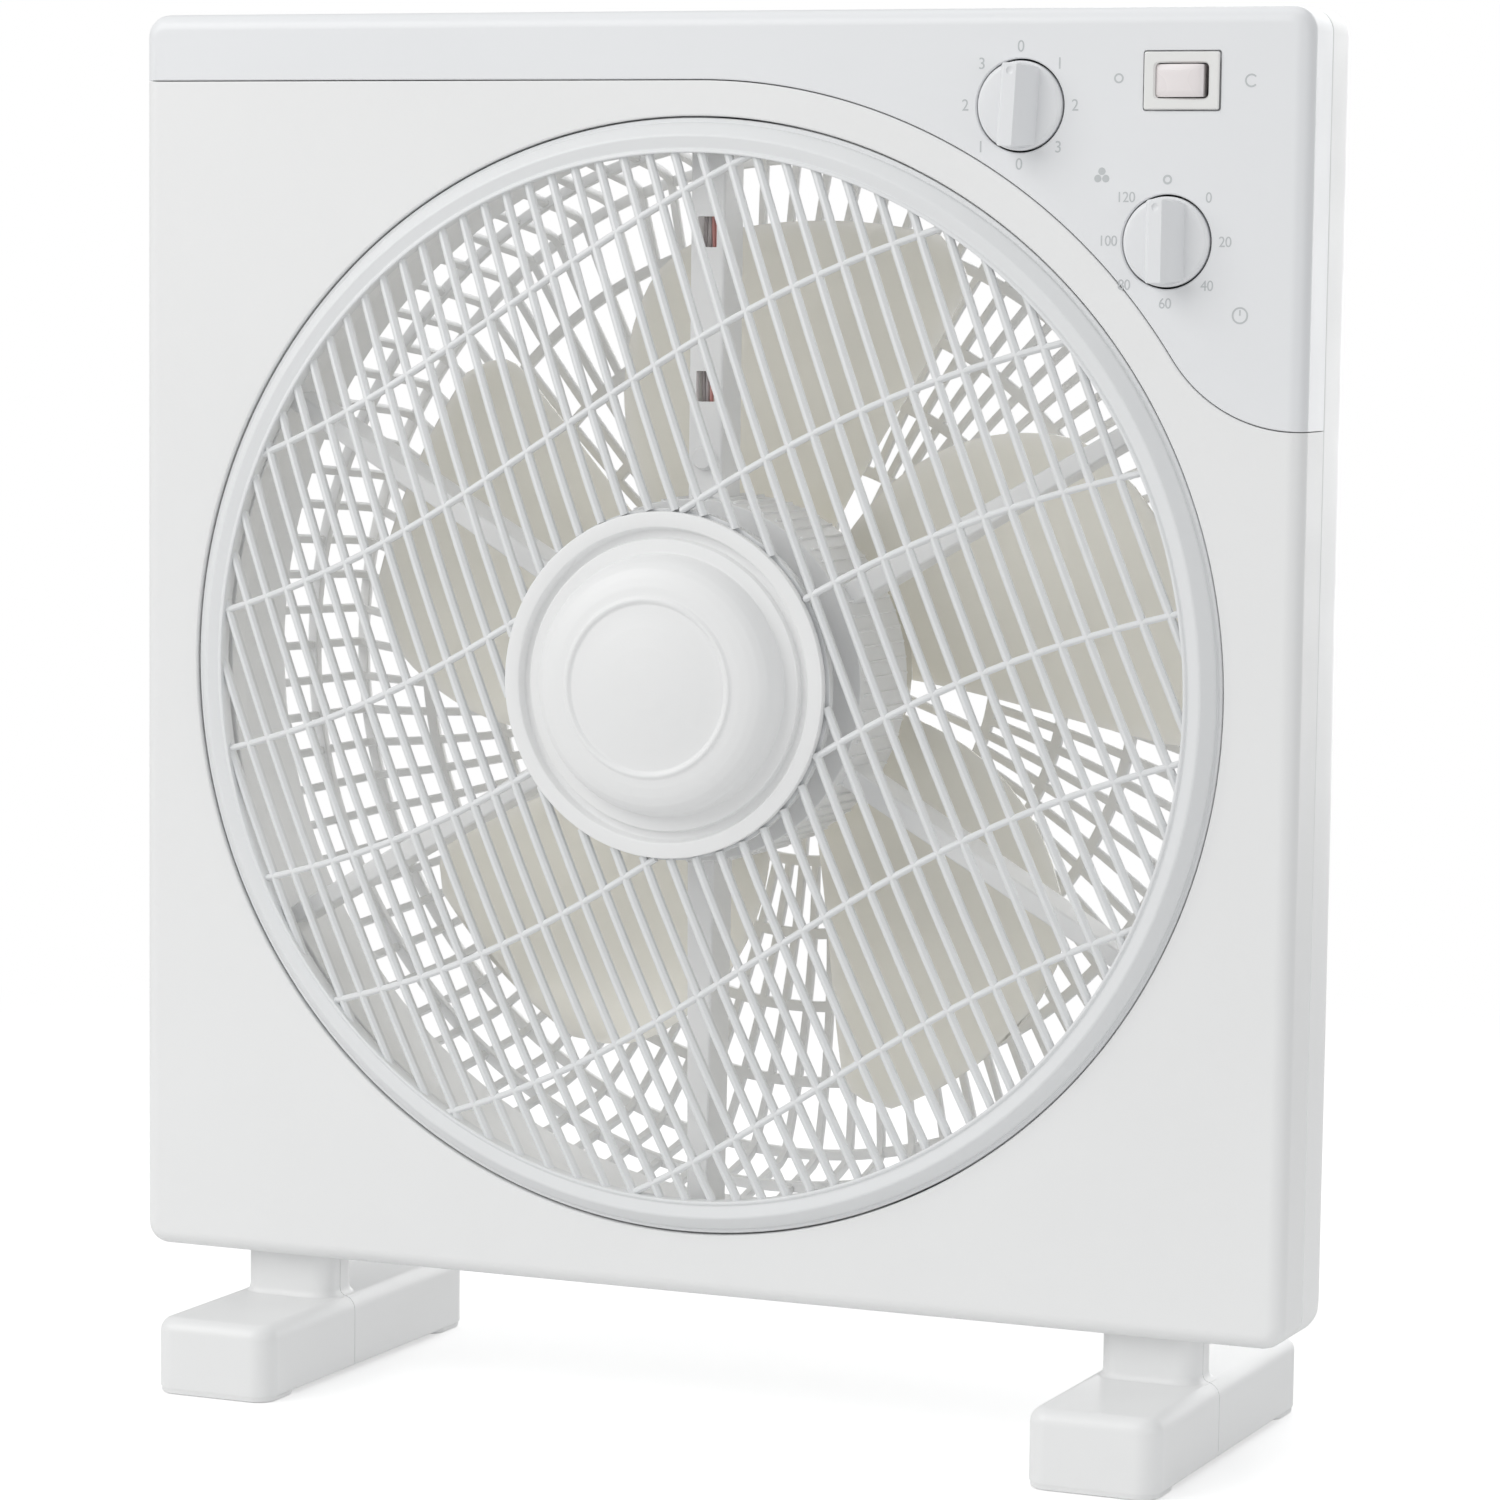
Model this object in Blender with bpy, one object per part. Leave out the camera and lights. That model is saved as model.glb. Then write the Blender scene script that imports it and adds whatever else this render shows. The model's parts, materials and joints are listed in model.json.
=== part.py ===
"""Box fan with a rotating louver: a square two-shell case on two feet.

Frame: metres, +Z up, the front of the fan faces -Y. The origin is on the floor, under the middle
of the object. Pieces are modelled about an anchor on the front face plane: x to the right, y is the
depth behind the face (negative is proud of it), z up. The anchors stand on the joints' axes.
"""
import math

import bmesh
import bpy

# --- driving dimensions, metres ----------------------------------------------------------------
AXIS_HEIGHT = 0.2275        # fan axis above the floor
AXIS_X = -0.0015            # fan axis from the middle of the case
FOOT_LENGTH = 0.1385
FOOT_PROUD = 0.038          # how far the feet reach in front of the face
FACE_Y = FOOT_PROUD - FOOT_LENGTH / 2

CASE_WIDTH = 0.380
CASE_TOP = 0.2005           # above the fan axis
CASE_BOTTOM = -0.1885
CASE_CORNER = 0.007
CASE_FILLET = 0.005
WALL = 0.0025
GAP = 0.0003                # clearance between touching pieces
LARGE = 48                  # sides of the large rounds, and of smaller ones below
MEDIUM = 30
SMALL = 20
SEAM_DEPTH = 0.0200         # the two shells meet here
REAR_STRAIGHT = 0.0335      # the rear shell's sides are straight to here
REAR_ROUND = 0.020          # then round over to the back face
BACK_DEPTH = REAR_STRAIGHT + REAR_ROUND
OPENING_RADIUS = 0.1693
DUCT_RADIUS = 0.1662
DUCT_LIP = 0.0022           # the duct's rear edge flares by this much
DUCT_DEPTH = BACK_DEPTH + 0.0002

PANEL_LINE = 0.1798         # the control panel's lower edge, and the radius of its arc
PANEL_RIGHT = 0.0793        # height of its edge at the right side
PANEL_TURN = 0.045          # radius of the reverse curve between them

SPEED_KNOB = (0.1019, 0.1722)
TIMER_KNOB = (0.1475, 0.1333)
ROCKER = (0.1513, 0.1793)
KNOB_RADIUS = 0.0130
KNOB_HOLE = 0.0136
KNOB_FACE = -0.0012
GRIP_PROUD = -0.0105
GRIP_SHOULDER = -0.0065
GRIP_WIDTHS = (0.0112, 0.0086, 0.0042)  # at the knob's face, the shoulder and the top
KNOB_BACK = 0.0024
KNOB_STEM = (0.0055, 0.0060)            # radius and depth of the stem behind a knob
SPINDLE_RADIUS = 0.0028
SPINDLE_FRONT = -0.0027
SWITCH_FRONT = 0.0066                   # the rotary switch and the timer stand behind the panel
SPEED_SWITCH = (0.0150, 0.0200)         # radius and length
TIMER = (0.0200, 0.0280)
ROCKER_SIZE = (0.0154, 0.0102)
ROCKER_SLOT = (0.0176, 0.0108)
BEZEL_SIZE = (0.0227, 0.0165)
ROCKER_TILT = math.radians(8)
ROCKER_PIVOT_DEPTH = 0.0050

RING_OUTER = 0.1666         # louver ring
RING_INNER = 0.1583
RING_FRONT = -0.0043
RING_BACK = 0.0090
CAP_RADIUS = 0.0520
CAP_RIM = -0.0210
CAP_FRONT = -0.0290
SLAT_TILT = math.radians(22.25)
SLAT_PITCH = 0.0323         # every fourth slat and every second bar; the rest are fine detail
SLAT_SHIFT = -0.0017
SLAT_DOME = (0.0, -0.01545, 1.55)   # depth at the ring and at the hub, and the curve's power
SLAT_WIDTH = 0.0024
SLAT_DEPTH = 0.0050
BAR_COUNT = 3
BAR_PITCH = 0.0852
BAR_SWAY = (0.0120, 0.2000)         # the bars swing by this much over this half wave
LOUVER_HUB_FRONT = -0.0167
LOUVER_HUB_BACK = -0.0142

BRACKET_RING = (0.1625, 0.1688)     # the six-armed bracket that holds both motors
BRACKET_RING_DEPTH = (0.0110, 0.0190)
HUB_CUP_RADIUS = 0.0550
HUB_CUP_DEPTH = (0.0030, 0.0410)
HUB_FLOOR = (0.0093, 0.0119)
HUB_BORE = 0.0100
ARM_WIDTH = 0.0110
ARM_DEPTH = (0.0105, 0.0245)
ARM_SKIN = 0.0020
WIRE_HOLES = (0.1350, 0.0886)       # heights of two windows in the top arm

DRIVE_RADIUS = 0.0028       # shaft of the louver's own small motor
DRIVE_SOCKET = 0.0031
DRIVE_DEPTH = (-0.0127, -0.0022)
LOUVER_MOTOR_RADIUS = 0.0240
LOUVER_MOTOR_DEPTH = (-0.0050, 0.0090)
LOUVER_MOTOR_EARS = (0.066, 0.010, 0.0070)
EAR_SCREW_X = 0.0290

MOTOR_RADIUS = 0.0410
MOTOR_FRONT = 0.0122
MOTOR_BACK = 0.0540
STATOR = (0.0203, 0.0459)
STATOR_BORE = 0.0295
ROTOR_RADIUS = 0.0288
WINDING = (0.0300, 0.0380)
WINDING_LENGTH = 0.0052
BELL_SKIN = 0.0020
BELL_BORE = 0.0045
BEARING_SEAT = (0.0093, 0.0115)
BEARING_RADIUS = 0.0090
BEARING_LENGTH = 0.0051
SHAFT_RADIUS = 0.0040
SHAFT_END = 0.0860

BLADE_COUNT = 5
BLADE_HUB = 0.0460
BLADE_TIP = 0.1425
BLADE_SKIN = 0.0022
HUB_DEPTH = (0.0500, 0.0720)
HUB_BOSS = 0.0100
HUB_BOSS_PROUD = 0.0060
NUT_RADIUS = 0.0125
NUT_LENGTH = 0.0098
BLADE_DEPTH = (0.0545, 0.0765)

GRILLE_PLANE = 0.0940
GRILLE_RIBS = 18
GRILLE_RINGS = (0.1600, 0.1360, 0.0880)
GRILLE_SIDE_RING = (0.1660, 0.0726)     # a ring half way down the grille's side
GRILLE_BAR = 0.0026
GRILLE_DISC = 0.0300

FOOT_X = 0.1447
FOOT_WIDTH = 0.0408
FOOT_BASE = 0.0240          # height of a foot's base above the floor
FOOT_CORNER = 0.0070
SOLE_HEIGHT = 0.0015
SOLE_LENGTH = 0.0220
NECK_WIDTH = 0.0300
NECK_DEPTH = (0.0110, 0.0310)
NECK_CORNER = 0.0060

CASE_SCREWS = ((-0.150, 0.160), (0.165, 0.075), (-0.150, -0.150), (0.150, -0.150))
SCREW_POST = 0.0045         # radii of a screw's post, pilot hole, clearance hole, thread and head
SCREW_PILOT = 0.0020
SCREW_CLEARANCE = 0.0023
SCREW_THREAD = 0.0017
SCREW_HEAD = 0.0040
SCREW_TIP = 0.0340
CORD_INLET = (0.155, -0.112)
CORD_BORE = 0.0037
GLAND_RADIUS = 0.0080
GLAND_NECK = 0.0060
CAPACITOR = (-0.142, 0.138)
TERMINALS = (0.150, -0.128)


# --- helpers -----------------------------------------------------------------------------------
def material(name, color, roughness, metallic=0.0):
    made = bpy.data.materials.new(name)
    made.use_nodes = True
    shader = made.node_tree.nodes["Principled BSDF"]
    shader.inputs["Base Color"].default_value = (*color, 1.0)
    shader.inputs["Roughness"].default_value = roughness
    shader.inputs["Metallic"].default_value = metallic
    return made


def anchor(name, x, z, depth=0.0):
    """Empty on an axis: x from the case's middle, z above the fan axis, depth behind the face."""
    empty = bpy.data.objects.new(name, None)
    empty.location = (x, FACE_Y + depth, AXIS_HEIGHT + z)
    bpy.context.collection.objects.link(empty)
    return empty


def piece(name, bm, parent, finish, smooth=35):
    """Turn a bmesh into a named object under its anchor."""
    bmesh.ops.recalc_face_normals(bm, faces=bm.faces)
    mesh = bpy.data.meshes.new(name)
    bm.to_mesh(mesh)
    bm.free()
    mesh.shade_smooth()
    mesh.set_sharp_from_angle(angle=math.radians(smooth))
    made = bpy.data.objects.new(name, mesh)
    made.parent = parent
    bpy.context.collection.objects.link(made)
    if finish:
        mesh.materials.append(finish)
    return made


def combine(target, tool, operation):
    """Boolean of two objects. The tool stays as a hidden wire guide."""
    change = target.modifiers.new(tool.name, "BOOLEAN")
    change.operation = operation
    change.solver = "EXACT"
    change.object = tool
    tool.hide_render = True
    tool.display_type = "WIRE"


def cut(target, *tools):
    for tool in tools:
        combine(target, tool, "DIFFERENCE")


def add(target, *tools):
    for tool in tools:
        combine(target, tool, "UNION")


def turned(profile, segments=MEDIUM, x=0.0, z=0.0):
    """Solid of revolution about the Y direction. The profile is a loop of (radius, depth)."""
    bm = bmesh.new()
    rings = []
    for radius, depth in profile:
        count = segments if radius > 0 else 1
        turns = [2 * math.pi * step / segments for step in range(count)]
        rings.append([bm.verts.new((x + radius * math.cos(t), depth, z + radius * math.sin(t)))
                      for t in turns])
    for ring, following in zip(rings, rings[1:] + rings[:1]):
        if len(ring) == 1 and len(following) == 1:
            continue
        for step in range(segments):
            after = (step + 1) % segments
            corners = (ring[step % len(ring)], ring[after % len(ring)],
                       following[after % len(following)], following[step % len(following)])
            bm.faces.new(list(dict.fromkeys(corners)))
    return bm


def disc(radius, front, back, segments=MEDIUM, x=0.0, z=0.0):
    return turned([(0, front), (radius, front), (radius, back), (0, back)], segments, x, z)


def tube(inner, outer, front, back, segments=MEDIUM):
    return turned([(inner, front), (outer, front), (outer, back), (inner, back)], segments)


def loft(loops):
    """Closed solid through loops of (x, y, z) points that all have the same count."""
    bm = bmesh.new()
    rows = [[bm.verts.new(point) for point in loop] for loop in loops]
    for row, following in zip(rows, rows[1:]):
        for step in range(len(row)):
            after = (step + 1) % len(row)
            bm.faces.new((row[step], row[after], following[after], following[step]))
    bm.faces.new(rows[0])
    bm.faces.new(rows[-1])
    return bm


def prism(outline, front, back):
    return loft([[(x, depth, z) for x, z in outline] for depth in (front, back)])


def rounded(x0, x1, z0, z1, radius, steps=5):
    """Outline of a rectangle with round corners, as (x, z) points."""
    corners = ((x1 - radius, z1 - radius, 0), (x0 + radius, z1 - radius, 90),
               (x0 + radius, z0 + radius, 180), (x1 - radius, z0 + radius, 270))
    points = []
    for cx, cz, start in corners:
        for step in range(steps + 1):
            turn = math.radians(start + 90 * step / steps)
            points.append((cx + radius * math.cos(turn), cz + radius * math.sin(turn)))
    return points


def block(width, height, front, back, radius=0.0015, x=0.0, z=0.0, steps=3):
    outline = rounded(x - width / 2, x + width / 2, z - height / 2, z + height / 2, radius, steps)
    return prism(outline, front, back)


def case_loop(inset, depth, corner):
    half = CASE_WIDTH / 2
    outline = rounded(inset - half, half - inset, CASE_BOTTOM + inset, CASE_TOP - inset, corner)
    return [(x, depth, z) for x, z in outline]


# --- case --------------------------------------------------------------------------------------
def case_shell(name, case, plastic):
    """The whole front shell, still with the control panel's area."""
    fillet_turns = [math.radians(turn) for turn in (0, 22.5, 45, 67.5, 90)]
    loops = [case_loop(CASE_FILLET * (1 - math.sin(t)), CASE_FILLET * (1 - math.cos(t)),
                       CASE_CORNER - CASE_FILLET * (1 - math.sin(t))) for t in fillet_turns]
    loops.append(case_loop(0, SEAM_DEPTH - GAP / 2, CASE_CORNER))
    shell = piece(name, loft(loops), case, plastic)
    hollow = loft([case_loop(WALL + CASE_FILLET / 2, WALL, CASE_CORNER - WALL),
                   case_loop(WALL, WALL + CASE_FILLET / 2, CASE_CORNER - WALL),
                   case_loop(WALL, SEAM_DEPTH + 0.01, CASE_CORNER - WALL)])
    cut(shell, piece(name + "_hollow", hollow, case, None))
    return shell


def panel_outline(shrink):
    """Outline of the control panel's area, as (x, z), larger than the case on its outer sides."""
    reach = 0.21
    radius = PANEL_LINE + shrink
    turn_z = PANEL_RIGHT + PANEL_TURN
    turn_x = math.sqrt((PANEL_LINE + PANEL_TURN) ** 2 - turn_z ** 2)
    meet = math.atan2(turn_z, turn_x)
    points = [(-reach, reach + 0.02), (-reach, radius)]
    steps = 14
    for step in range(steps + 1):
        turn = math.pi / 2 + (meet - math.pi / 2) * step / steps
        points.append((radius * math.cos(turn), radius * math.sin(turn)))
    steps = 8
    for step in range(1, steps + 1):
        turn = math.pi + meet + (math.pi / 2 - meet) * step / steps
        points.append((turn_x + (PANEL_TURN - shrink) * math.cos(turn),
                       turn_z + (PANEL_TURN - shrink) * math.sin(turn)))
    points += [(reach, PANEL_RIGHT + shrink), (reach, reach + 0.02)]
    return points


def make_front_shell(case, fan, plastic):
    shell = case_shell("front_shell", case, plastic)
    for number, (x, z) in enumerate(CASE_SCREWS, 1):
        post = disc(SCREW_POST, WALL / 2, BACK_DEPTH - WALL - 0.0005, 16, x, z)
        add(shell, piece(f"screw_post_{number}", post, case, None))
        pilot = disc(SCREW_PILOT, SCREW_TIP - 0.004, BACK_DEPTH, 12, x, z)
        cut(shell, piece(f"screw_pilot_{number}", pilot, case, None))
    collar = tube(OPENING_RADIUS - 0.004, OPENING_RADIUS + WALL, WALL / 3, SEAM_DEPTH - GAP / 2,
                  LARGE)
    add(shell, piece("front_collar", collar, fan, None))
    cut(shell, piece("front_opening", disc(OPENING_RADIUS, -0.02, 0.04, LARGE), fan, None))
    area = prism(panel_outline(0.0), -0.05, SEAM_DEPTH + 0.02)
    cut(shell, piece("panel_area", area, case, None))


def make_control_panel(case, trim):
    panel = case_shell("control_panel", case, trim)
    area = prism(panel_outline(GAP), -0.05, SEAM_DEPTH + 0.02)
    combine(panel, piece("panel_keep", area, case, None), "INTERSECT")
    for name, (x, z) in (("speed", SPEED_KNOB), ("timer", TIMER_KNOB)):
        hole = disc(KNOB_HOLE, -0.01, 0.01, 32, x, z)
        cut(panel, piece(name + "_hole", hole, case, None))
    window = block(BEZEL_SIZE[0] - 0.0020, BEZEL_SIZE[1] - 0.0020, -0.01, 0.01, 0.0005, *ROCKER)
    cut(panel, piece("rocker_window", window, case, None))


def rear_loops(offset, front):
    """Loops of the rear shell's outside, or of its hollow where offset is the wall."""
    loops = [case_loop(offset, front, CASE_CORNER - offset)]
    radius = REAR_ROUND - offset
    for turn in (0, 22.5, 45, 67.5, 90):
        t = math.radians(turn)
        inset = offset + radius * (1 - math.cos(t))
        corner = CASE_CORNER - offset + radius * (1 - math.cos(t)) * 0.6
        loops.append(case_loop(inset, REAR_STRAIGHT + radius * math.sin(t), corner))
    return loops


def make_rear_shell(case, fan, plastic):
    shell = piece("rear_shell", loft(rear_loops(0, SEAM_DEPTH + GAP / 2)), case, plastic)
    cut(shell, piece("rear_hollow", loft(rear_loops(WALL, SEAM_DEPTH - 0.01)), case, None))
    opening = disc(DUCT_RADIUS + 0.0020, BACK_DEPTH - 0.01, BACK_DEPTH + 0.02, LARGE)
    cut(shell, piece("rear_opening", opening, fan, None))
    front = SEAM_DEPTH + GAP / 2
    duct = turned([(DUCT_RADIUS, front), (DUCT_RADIUS + WALL, front),
                   (DUCT_RADIUS + WALL, DUCT_DEPTH), (DUCT_RADIUS + DUCT_LIP, DUCT_DEPTH),
                   (DUCT_RADIUS, DUCT_DEPTH - DUCT_LIP)], LARGE)
    add(shell, piece("rear_duct", duct, fan, None))
    for number, (x, z) in enumerate(CASE_SCREWS, 1):
        hole = disc(SCREW_CLEARANCE, BACK_DEPTH - 0.01, BACK_DEPTH + 0.01, 12, x, z)
        cut(shell, piece(f"screw_hole_{number}", hole, case, None))
    inlet = disc(GLAND_NECK + GAP, BACK_DEPTH - 0.01, BACK_DEPTH + 0.01, 20, *CORD_INLET)
    cut(shell, piece("cord_hole", inlet, case, None))


def make_case_screws(case, steel):
    for number, (x, z) in enumerate(CASE_SCREWS, 1):
        face = BACK_DEPTH + GAP
        screw = turned([(0, SCREW_TIP), (SCREW_THREAD, SCREW_TIP), (SCREW_THREAD, face),
                        (SCREW_HEAD, face), (SCREW_HEAD, face + 0.0012),
                        (SCREW_HEAD * 0.65, face + 0.0022), (0, face + 0.0022)], 12, x, z)
        piece(f"case_screw_{number}", screw, case, steel)


def make_cord_gland(case, rubber):
    x, z = CORD_INLET
    inside = BACK_DEPTH - WALL - GAP
    outside = BACK_DEPTH + GAP
    gland = turned([(CORD_BORE, inside - 0.004), (GLAND_RADIUS, inside - 0.004),
                    (GLAND_RADIUS, inside), (GLAND_NECK, inside), (GLAND_NECK, outside),
                    (GLAND_RADIUS, outside), (GLAND_RADIUS * 0.9, outside + 0.006),
                    (GLAND_RADIUS * 0.7, outside + 0.020), (CORD_BORE, outside + 0.020)], 20, x, z)
    piece("cord_gland", gland, case, rubber)


def foot_loops(x, near, far, corner, levels):
    """Loops of a foot's outline at several heights; each level is (inset, height)."""
    loops = []
    for inset, height in levels:
        outline = rounded(x - FOOT_WIDTH / 2 + inset, x + FOOT_WIDTH / 2 - inset,
                          near + inset, far - inset, corner, 4)
        loops.append([(px, depth, height) for px, depth in outline])
    return loops


def make_feet(case, plastic):
    """Each foot is a front and a rear half that meet at the shells' seam.

    A half is one moulding: a base on a low sole at its outer end, and half of the neck.
    """
    floor = -AXIS_HEIGHT
    top = floor + FOOT_BASE
    rear_end = FOOT_LENGTH - FOOT_PROUD
    seam = {"front": SEAM_DEPTH - GAP / 2, "rear": SEAM_DEPTH + GAP / 2}
    levels = ((0, floor + SOLE_HEIGHT), (0, top - 0.0045), (0.0013, top - 0.0013), (0.0045, top))
    for side, x in (("left", -FOOT_X), ("right", FOOT_X)):
        whole = foot_loops(x, -FOOT_PROUD, rear_end, FOOT_CORNER, levels)
        for end, sole in (("front", (-FOOT_PROUD, -FOOT_PROUD + SOLE_LENGTH)),
                          ("rear", (rear_end - SOLE_LENGTH, rear_end))):
            foot = piece(f"foot_{end}_{side}", loft(whole), case, plastic)
            outline = rounded(x - NECK_WIDTH / 2, x + NECK_WIDTH / 2, *NECK_DEPTH, NECK_CORNER, 4)
            neck = loft([[(px, depth, height) for px, depth in outline]
                         for height in (top - 0.006, CASE_BOTTOM - GAP)])
            add(foot, piece(f"neck_{end}_{side}", neck, case, None))
            pad = loft(foot_loops(x, *sole, FOOT_CORNER,
                                  ((0, floor), (0, floor + SOLE_HEIGHT + 0.003))))
            add(foot, piece(f"sole_{end}_{side}", pad, case, None))
            near, far = (seam["front"], 0.2) if end == "front" else (-0.2, seam["rear"])
            half = loft([[(x + sx * 0.04, depth, height) for sx, depth in
                          ((-1, near), (1, near), (1, far), (-1, far))]
                         for height in (floor - 0.01, CASE_BOTTOM + 0.01)])
            cut(foot, piece(f"other_half_{end}_{side}", half, case, None))


# --- louver ------------------------------------------------------------------------------------
def dome(radius):
    """Depth of the louver's slats at a distance from the axis."""
    edge, middle, power = SLAT_DOME
    reach = min(max((radius - CAP_RADIUS) / (RING_INNER - CAP_RADIUS), 0.0), 1.0)
    return middle + (edge - middle) * reach ** power


def slat_sheet():
    """Sheet of parallel slats crossed by bars, domed, still square outside and open inside."""
    slats = int(2 * RING_OUTER / SLAT_PITCH)
    across = []
    for number in range(slats):
        middle = (number - (slats - 1) / 2) * SLAT_PITCH + SLAT_SHIFT
        across += [middle - SLAT_WIDTH / 2, middle + SLAT_WIDTH / 2]
    along = [-RING_OUTER - 0.01]
    for number in range(BAR_COUNT):
        middle = (number - (BAR_COUNT - 1) / 2) * BAR_PITCH
        along += [middle - SLAT_WIDTH / 2, middle + SLAT_WIDTH / 2]
    along.append(RING_OUTER + 0.01)
    bm = bmesh.new()
    grid = []
    for line in along:
        row = []
        for a in across:
            b = line + BAR_SWAY[0] * math.sin(math.pi * a / BAR_SWAY[1])
            x = a * math.cos(SLAT_TILT) - b * math.sin(SLAT_TILT)
            z = a * math.sin(SLAT_TILT) + b * math.cos(SLAT_TILT)
            row.append(bm.verts.new((x, dome(math.hypot(x, z)), z)))
        grid.append(row)
    for i in range(len(along) - 1):
        for j in range(len(across) - 1):
            on_slat = j % 2 == 0
            on_bar = i % 2 == 1
            if on_slat or on_bar:
                bm.faces.new((grid[i][j], grid[i][j + 1], grid[i + 1][j + 1], grid[i + 1][j]))
    return bm


def make_louver(louver, plastic):
    """Ring, slats, bars and the hub that takes the drive shaft are one moulding."""
    grille = piece("louver_grille", slat_sheet(), louver, plastic)
    thick = grille.modifiers.new("depth", "SOLIDIFY")
    thick.thickness = SLAT_DEPTH
    thick.offset = 0.0
    grille.modifiers.new("flat_faces", "TRIANGULATE")
    keep = disc((RING_INNER + RING_OUTER) / 2, -0.04, 0.04, LARGE)
    combine(grille, piece("louver_round", keep, louver, None), "INTERSECT")
    ring = turned([(RING_INNER, RING_FRONT), (RING_OUTER - 0.003, RING_FRONT),
                   (RING_OUTER, RING_FRONT + 0.0018), (RING_OUTER, RING_BACK),
                   (RING_INNER, RING_BACK)], LARGE)
    plate = CAP_RADIUS - 0.002
    hub = turned([(0, LOUVER_HUB_FRONT - 0.001), (plate, LOUVER_HUB_FRONT - 0.001),
                  (plate, LOUVER_HUB_BACK), (0.011, LOUVER_HUB_BACK), (0.011, -0.0080),
                  (DRIVE_SOCKET, -0.0080), (DRIVE_SOCKET, DRIVE_DEPTH[0] - GAP),
                  (0, DRIVE_DEPTH[0] - GAP)], MEDIUM)
    add(grille, piece("louver_ring_tool", ring, louver, None),
        piece("louver_hub_tool", hub, louver, None))
    seat = disc(CAP_RADIUS + 0.0005, -0.05, LOUVER_HUB_FRONT, MEDIUM)
    cut(grille, piece("cap_seat", seat, louver, None))


def make_louver_cap(louver, plastic):
    base = LOUVER_HUB_FRONT - GAP
    skin = 0.0018
    outside = [(0, CAP_FRONT), (0.0270, CAP_FRONT), (0.0350, CAP_FRONT + 0.0022),
               (0.0400, CAP_FRONT + 0.0050), (0.0430, CAP_RIM + 0.0015),
               (0.0462, CAP_RIM + 0.0015), (0.0472, CAP_RIM), (CAP_RADIUS, CAP_RIM),
               (CAP_RADIUS, base)]
    inside = [(CAP_RADIUS - skin, base), (CAP_RADIUS - skin, CAP_RIM + skin + 0.0014),
              (0.0418, CAP_RIM + skin + 0.0014), (0.0380, CAP_FRONT + 0.0064),
              (0, CAP_FRONT + 0.0030)]
    piece("louver_cap", turned(outside + inside, MEDIUM), louver, plastic)


def make_louver_drive(louver, fan, steel, zinc):
    piece("louver_drive_shaft", disc(DRIVE_RADIUS, *DRIVE_DEPTH, 16), louver, steel)
    front, back = LOUVER_MOTOR_DEPTH
    bore = DRIVE_RADIUS + 2 * GAP
    can = turned([(bore, front), (LOUVER_MOTOR_RADIUS, front), (LOUVER_MOTOR_RADIUS, back),
                  (0, back), (0, DRIVE_DEPTH[1] + 0.0004), (bore, DRIVE_DEPTH[1] + 0.0004)], SMALL)
    motor = piece("louver_motor", can, fan, zinc)
    width, height, ear_front = LOUVER_MOTOR_EARS
    ears = block(width, height, ear_front, back, 0.004)
    add(motor, piece("louver_motor_ears", ears, fan, None))
    for side, x in (("left", -EAR_SCREW_X), ("right", EAR_SCREW_X)):
        screw = turned([(0, 0.0042), (0.0028, 0.0044), (0.0032, 0.0056), (0.0032, 0.0067),
                        (0, 0.0067)], 12, x)
        piece(f"louver_motor_screw_{side}", screw, fan, steel)


# --- motor bracket -----------------------------------------------------------------------------
def make_bracket(fan, plastic):
    """Six arms from a ring in the shell's collar to a cup that holds both motors."""
    cup_wall = HUB_CUP_RADIUS - WALL
    front, back = HUB_CUP_DEPTH
    cup = turned([(HUB_BORE, HUB_FLOOR[0]), (cup_wall, HUB_FLOOR[0]), (cup_wall, front),
                  (HUB_CUP_RADIUS, front), (HUB_CUP_RADIUS, back), (cup_wall, back),
                  (cup_wall, HUB_FLOOR[1]), (HUB_BORE, HUB_FLOOR[1])], MEDIUM)
    bracket = piece("motor_bracket", cup, fan, plastic)
    ring = tube(*BRACKET_RING, *BRACKET_RING_DEPTH, LARGE)
    add(bracket, piece("bracket_ring", ring, fan, None))
    reach = BRACKET_RING[0] + 0.001
    for number in range(6):
        turn = math.radians(90 + 60 * number)
        half = ARM_WIDTH / 2
        corners = []
        for along, side in ((cup_wall + 0.001, -half), (reach, -half), (reach, half),
                            (cup_wall + 0.001, half)):
            corners.append((along * math.cos(turn) - side * math.sin(turn),
                            along * math.sin(turn) + side * math.cos(turn)))
        arm = prism(corners, *ARM_DEPTH)
        add(bracket, piece(f"bracket_arm_{number + 1}", arm, fan, None))
    low, high = HUB_CUP_RADIUS + 0.003, BRACKET_RING[0] - 0.003
    groove = block(ARM_WIDTH - 2 * ARM_SKIN, high - low, ARM_DEPTH[0] + ARM_SKIN, 0.03, 0.0005,
                   0.0, (low + high) / 2)
    cut(bracket, piece("wire_groove", groove, fan, None))
    for number, height in enumerate(WIRE_HOLES, 1):
        hole = block(0.0040, 0.0090, 0.0, 0.03, 0.0004, 0.0, height)
        cut(bracket, piece(f"wire_hole_{number}", hole, fan, None))


def make_wire_loom(fan, copper):
    """Leads of both motors, in the groove of the bracket's top arm."""
    front = ARM_DEPTH[0] + ARM_SKIN + GAP
    low, high = HUB_CUP_RADIUS + 0.004, BRACKET_RING[0] - 0.004
    leads = block(0.0044, high - low, front, front + 0.0030, 0.0008, 0.0, (low + high) / 2)
    piece("motor_leads", leads, fan, copper)


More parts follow.
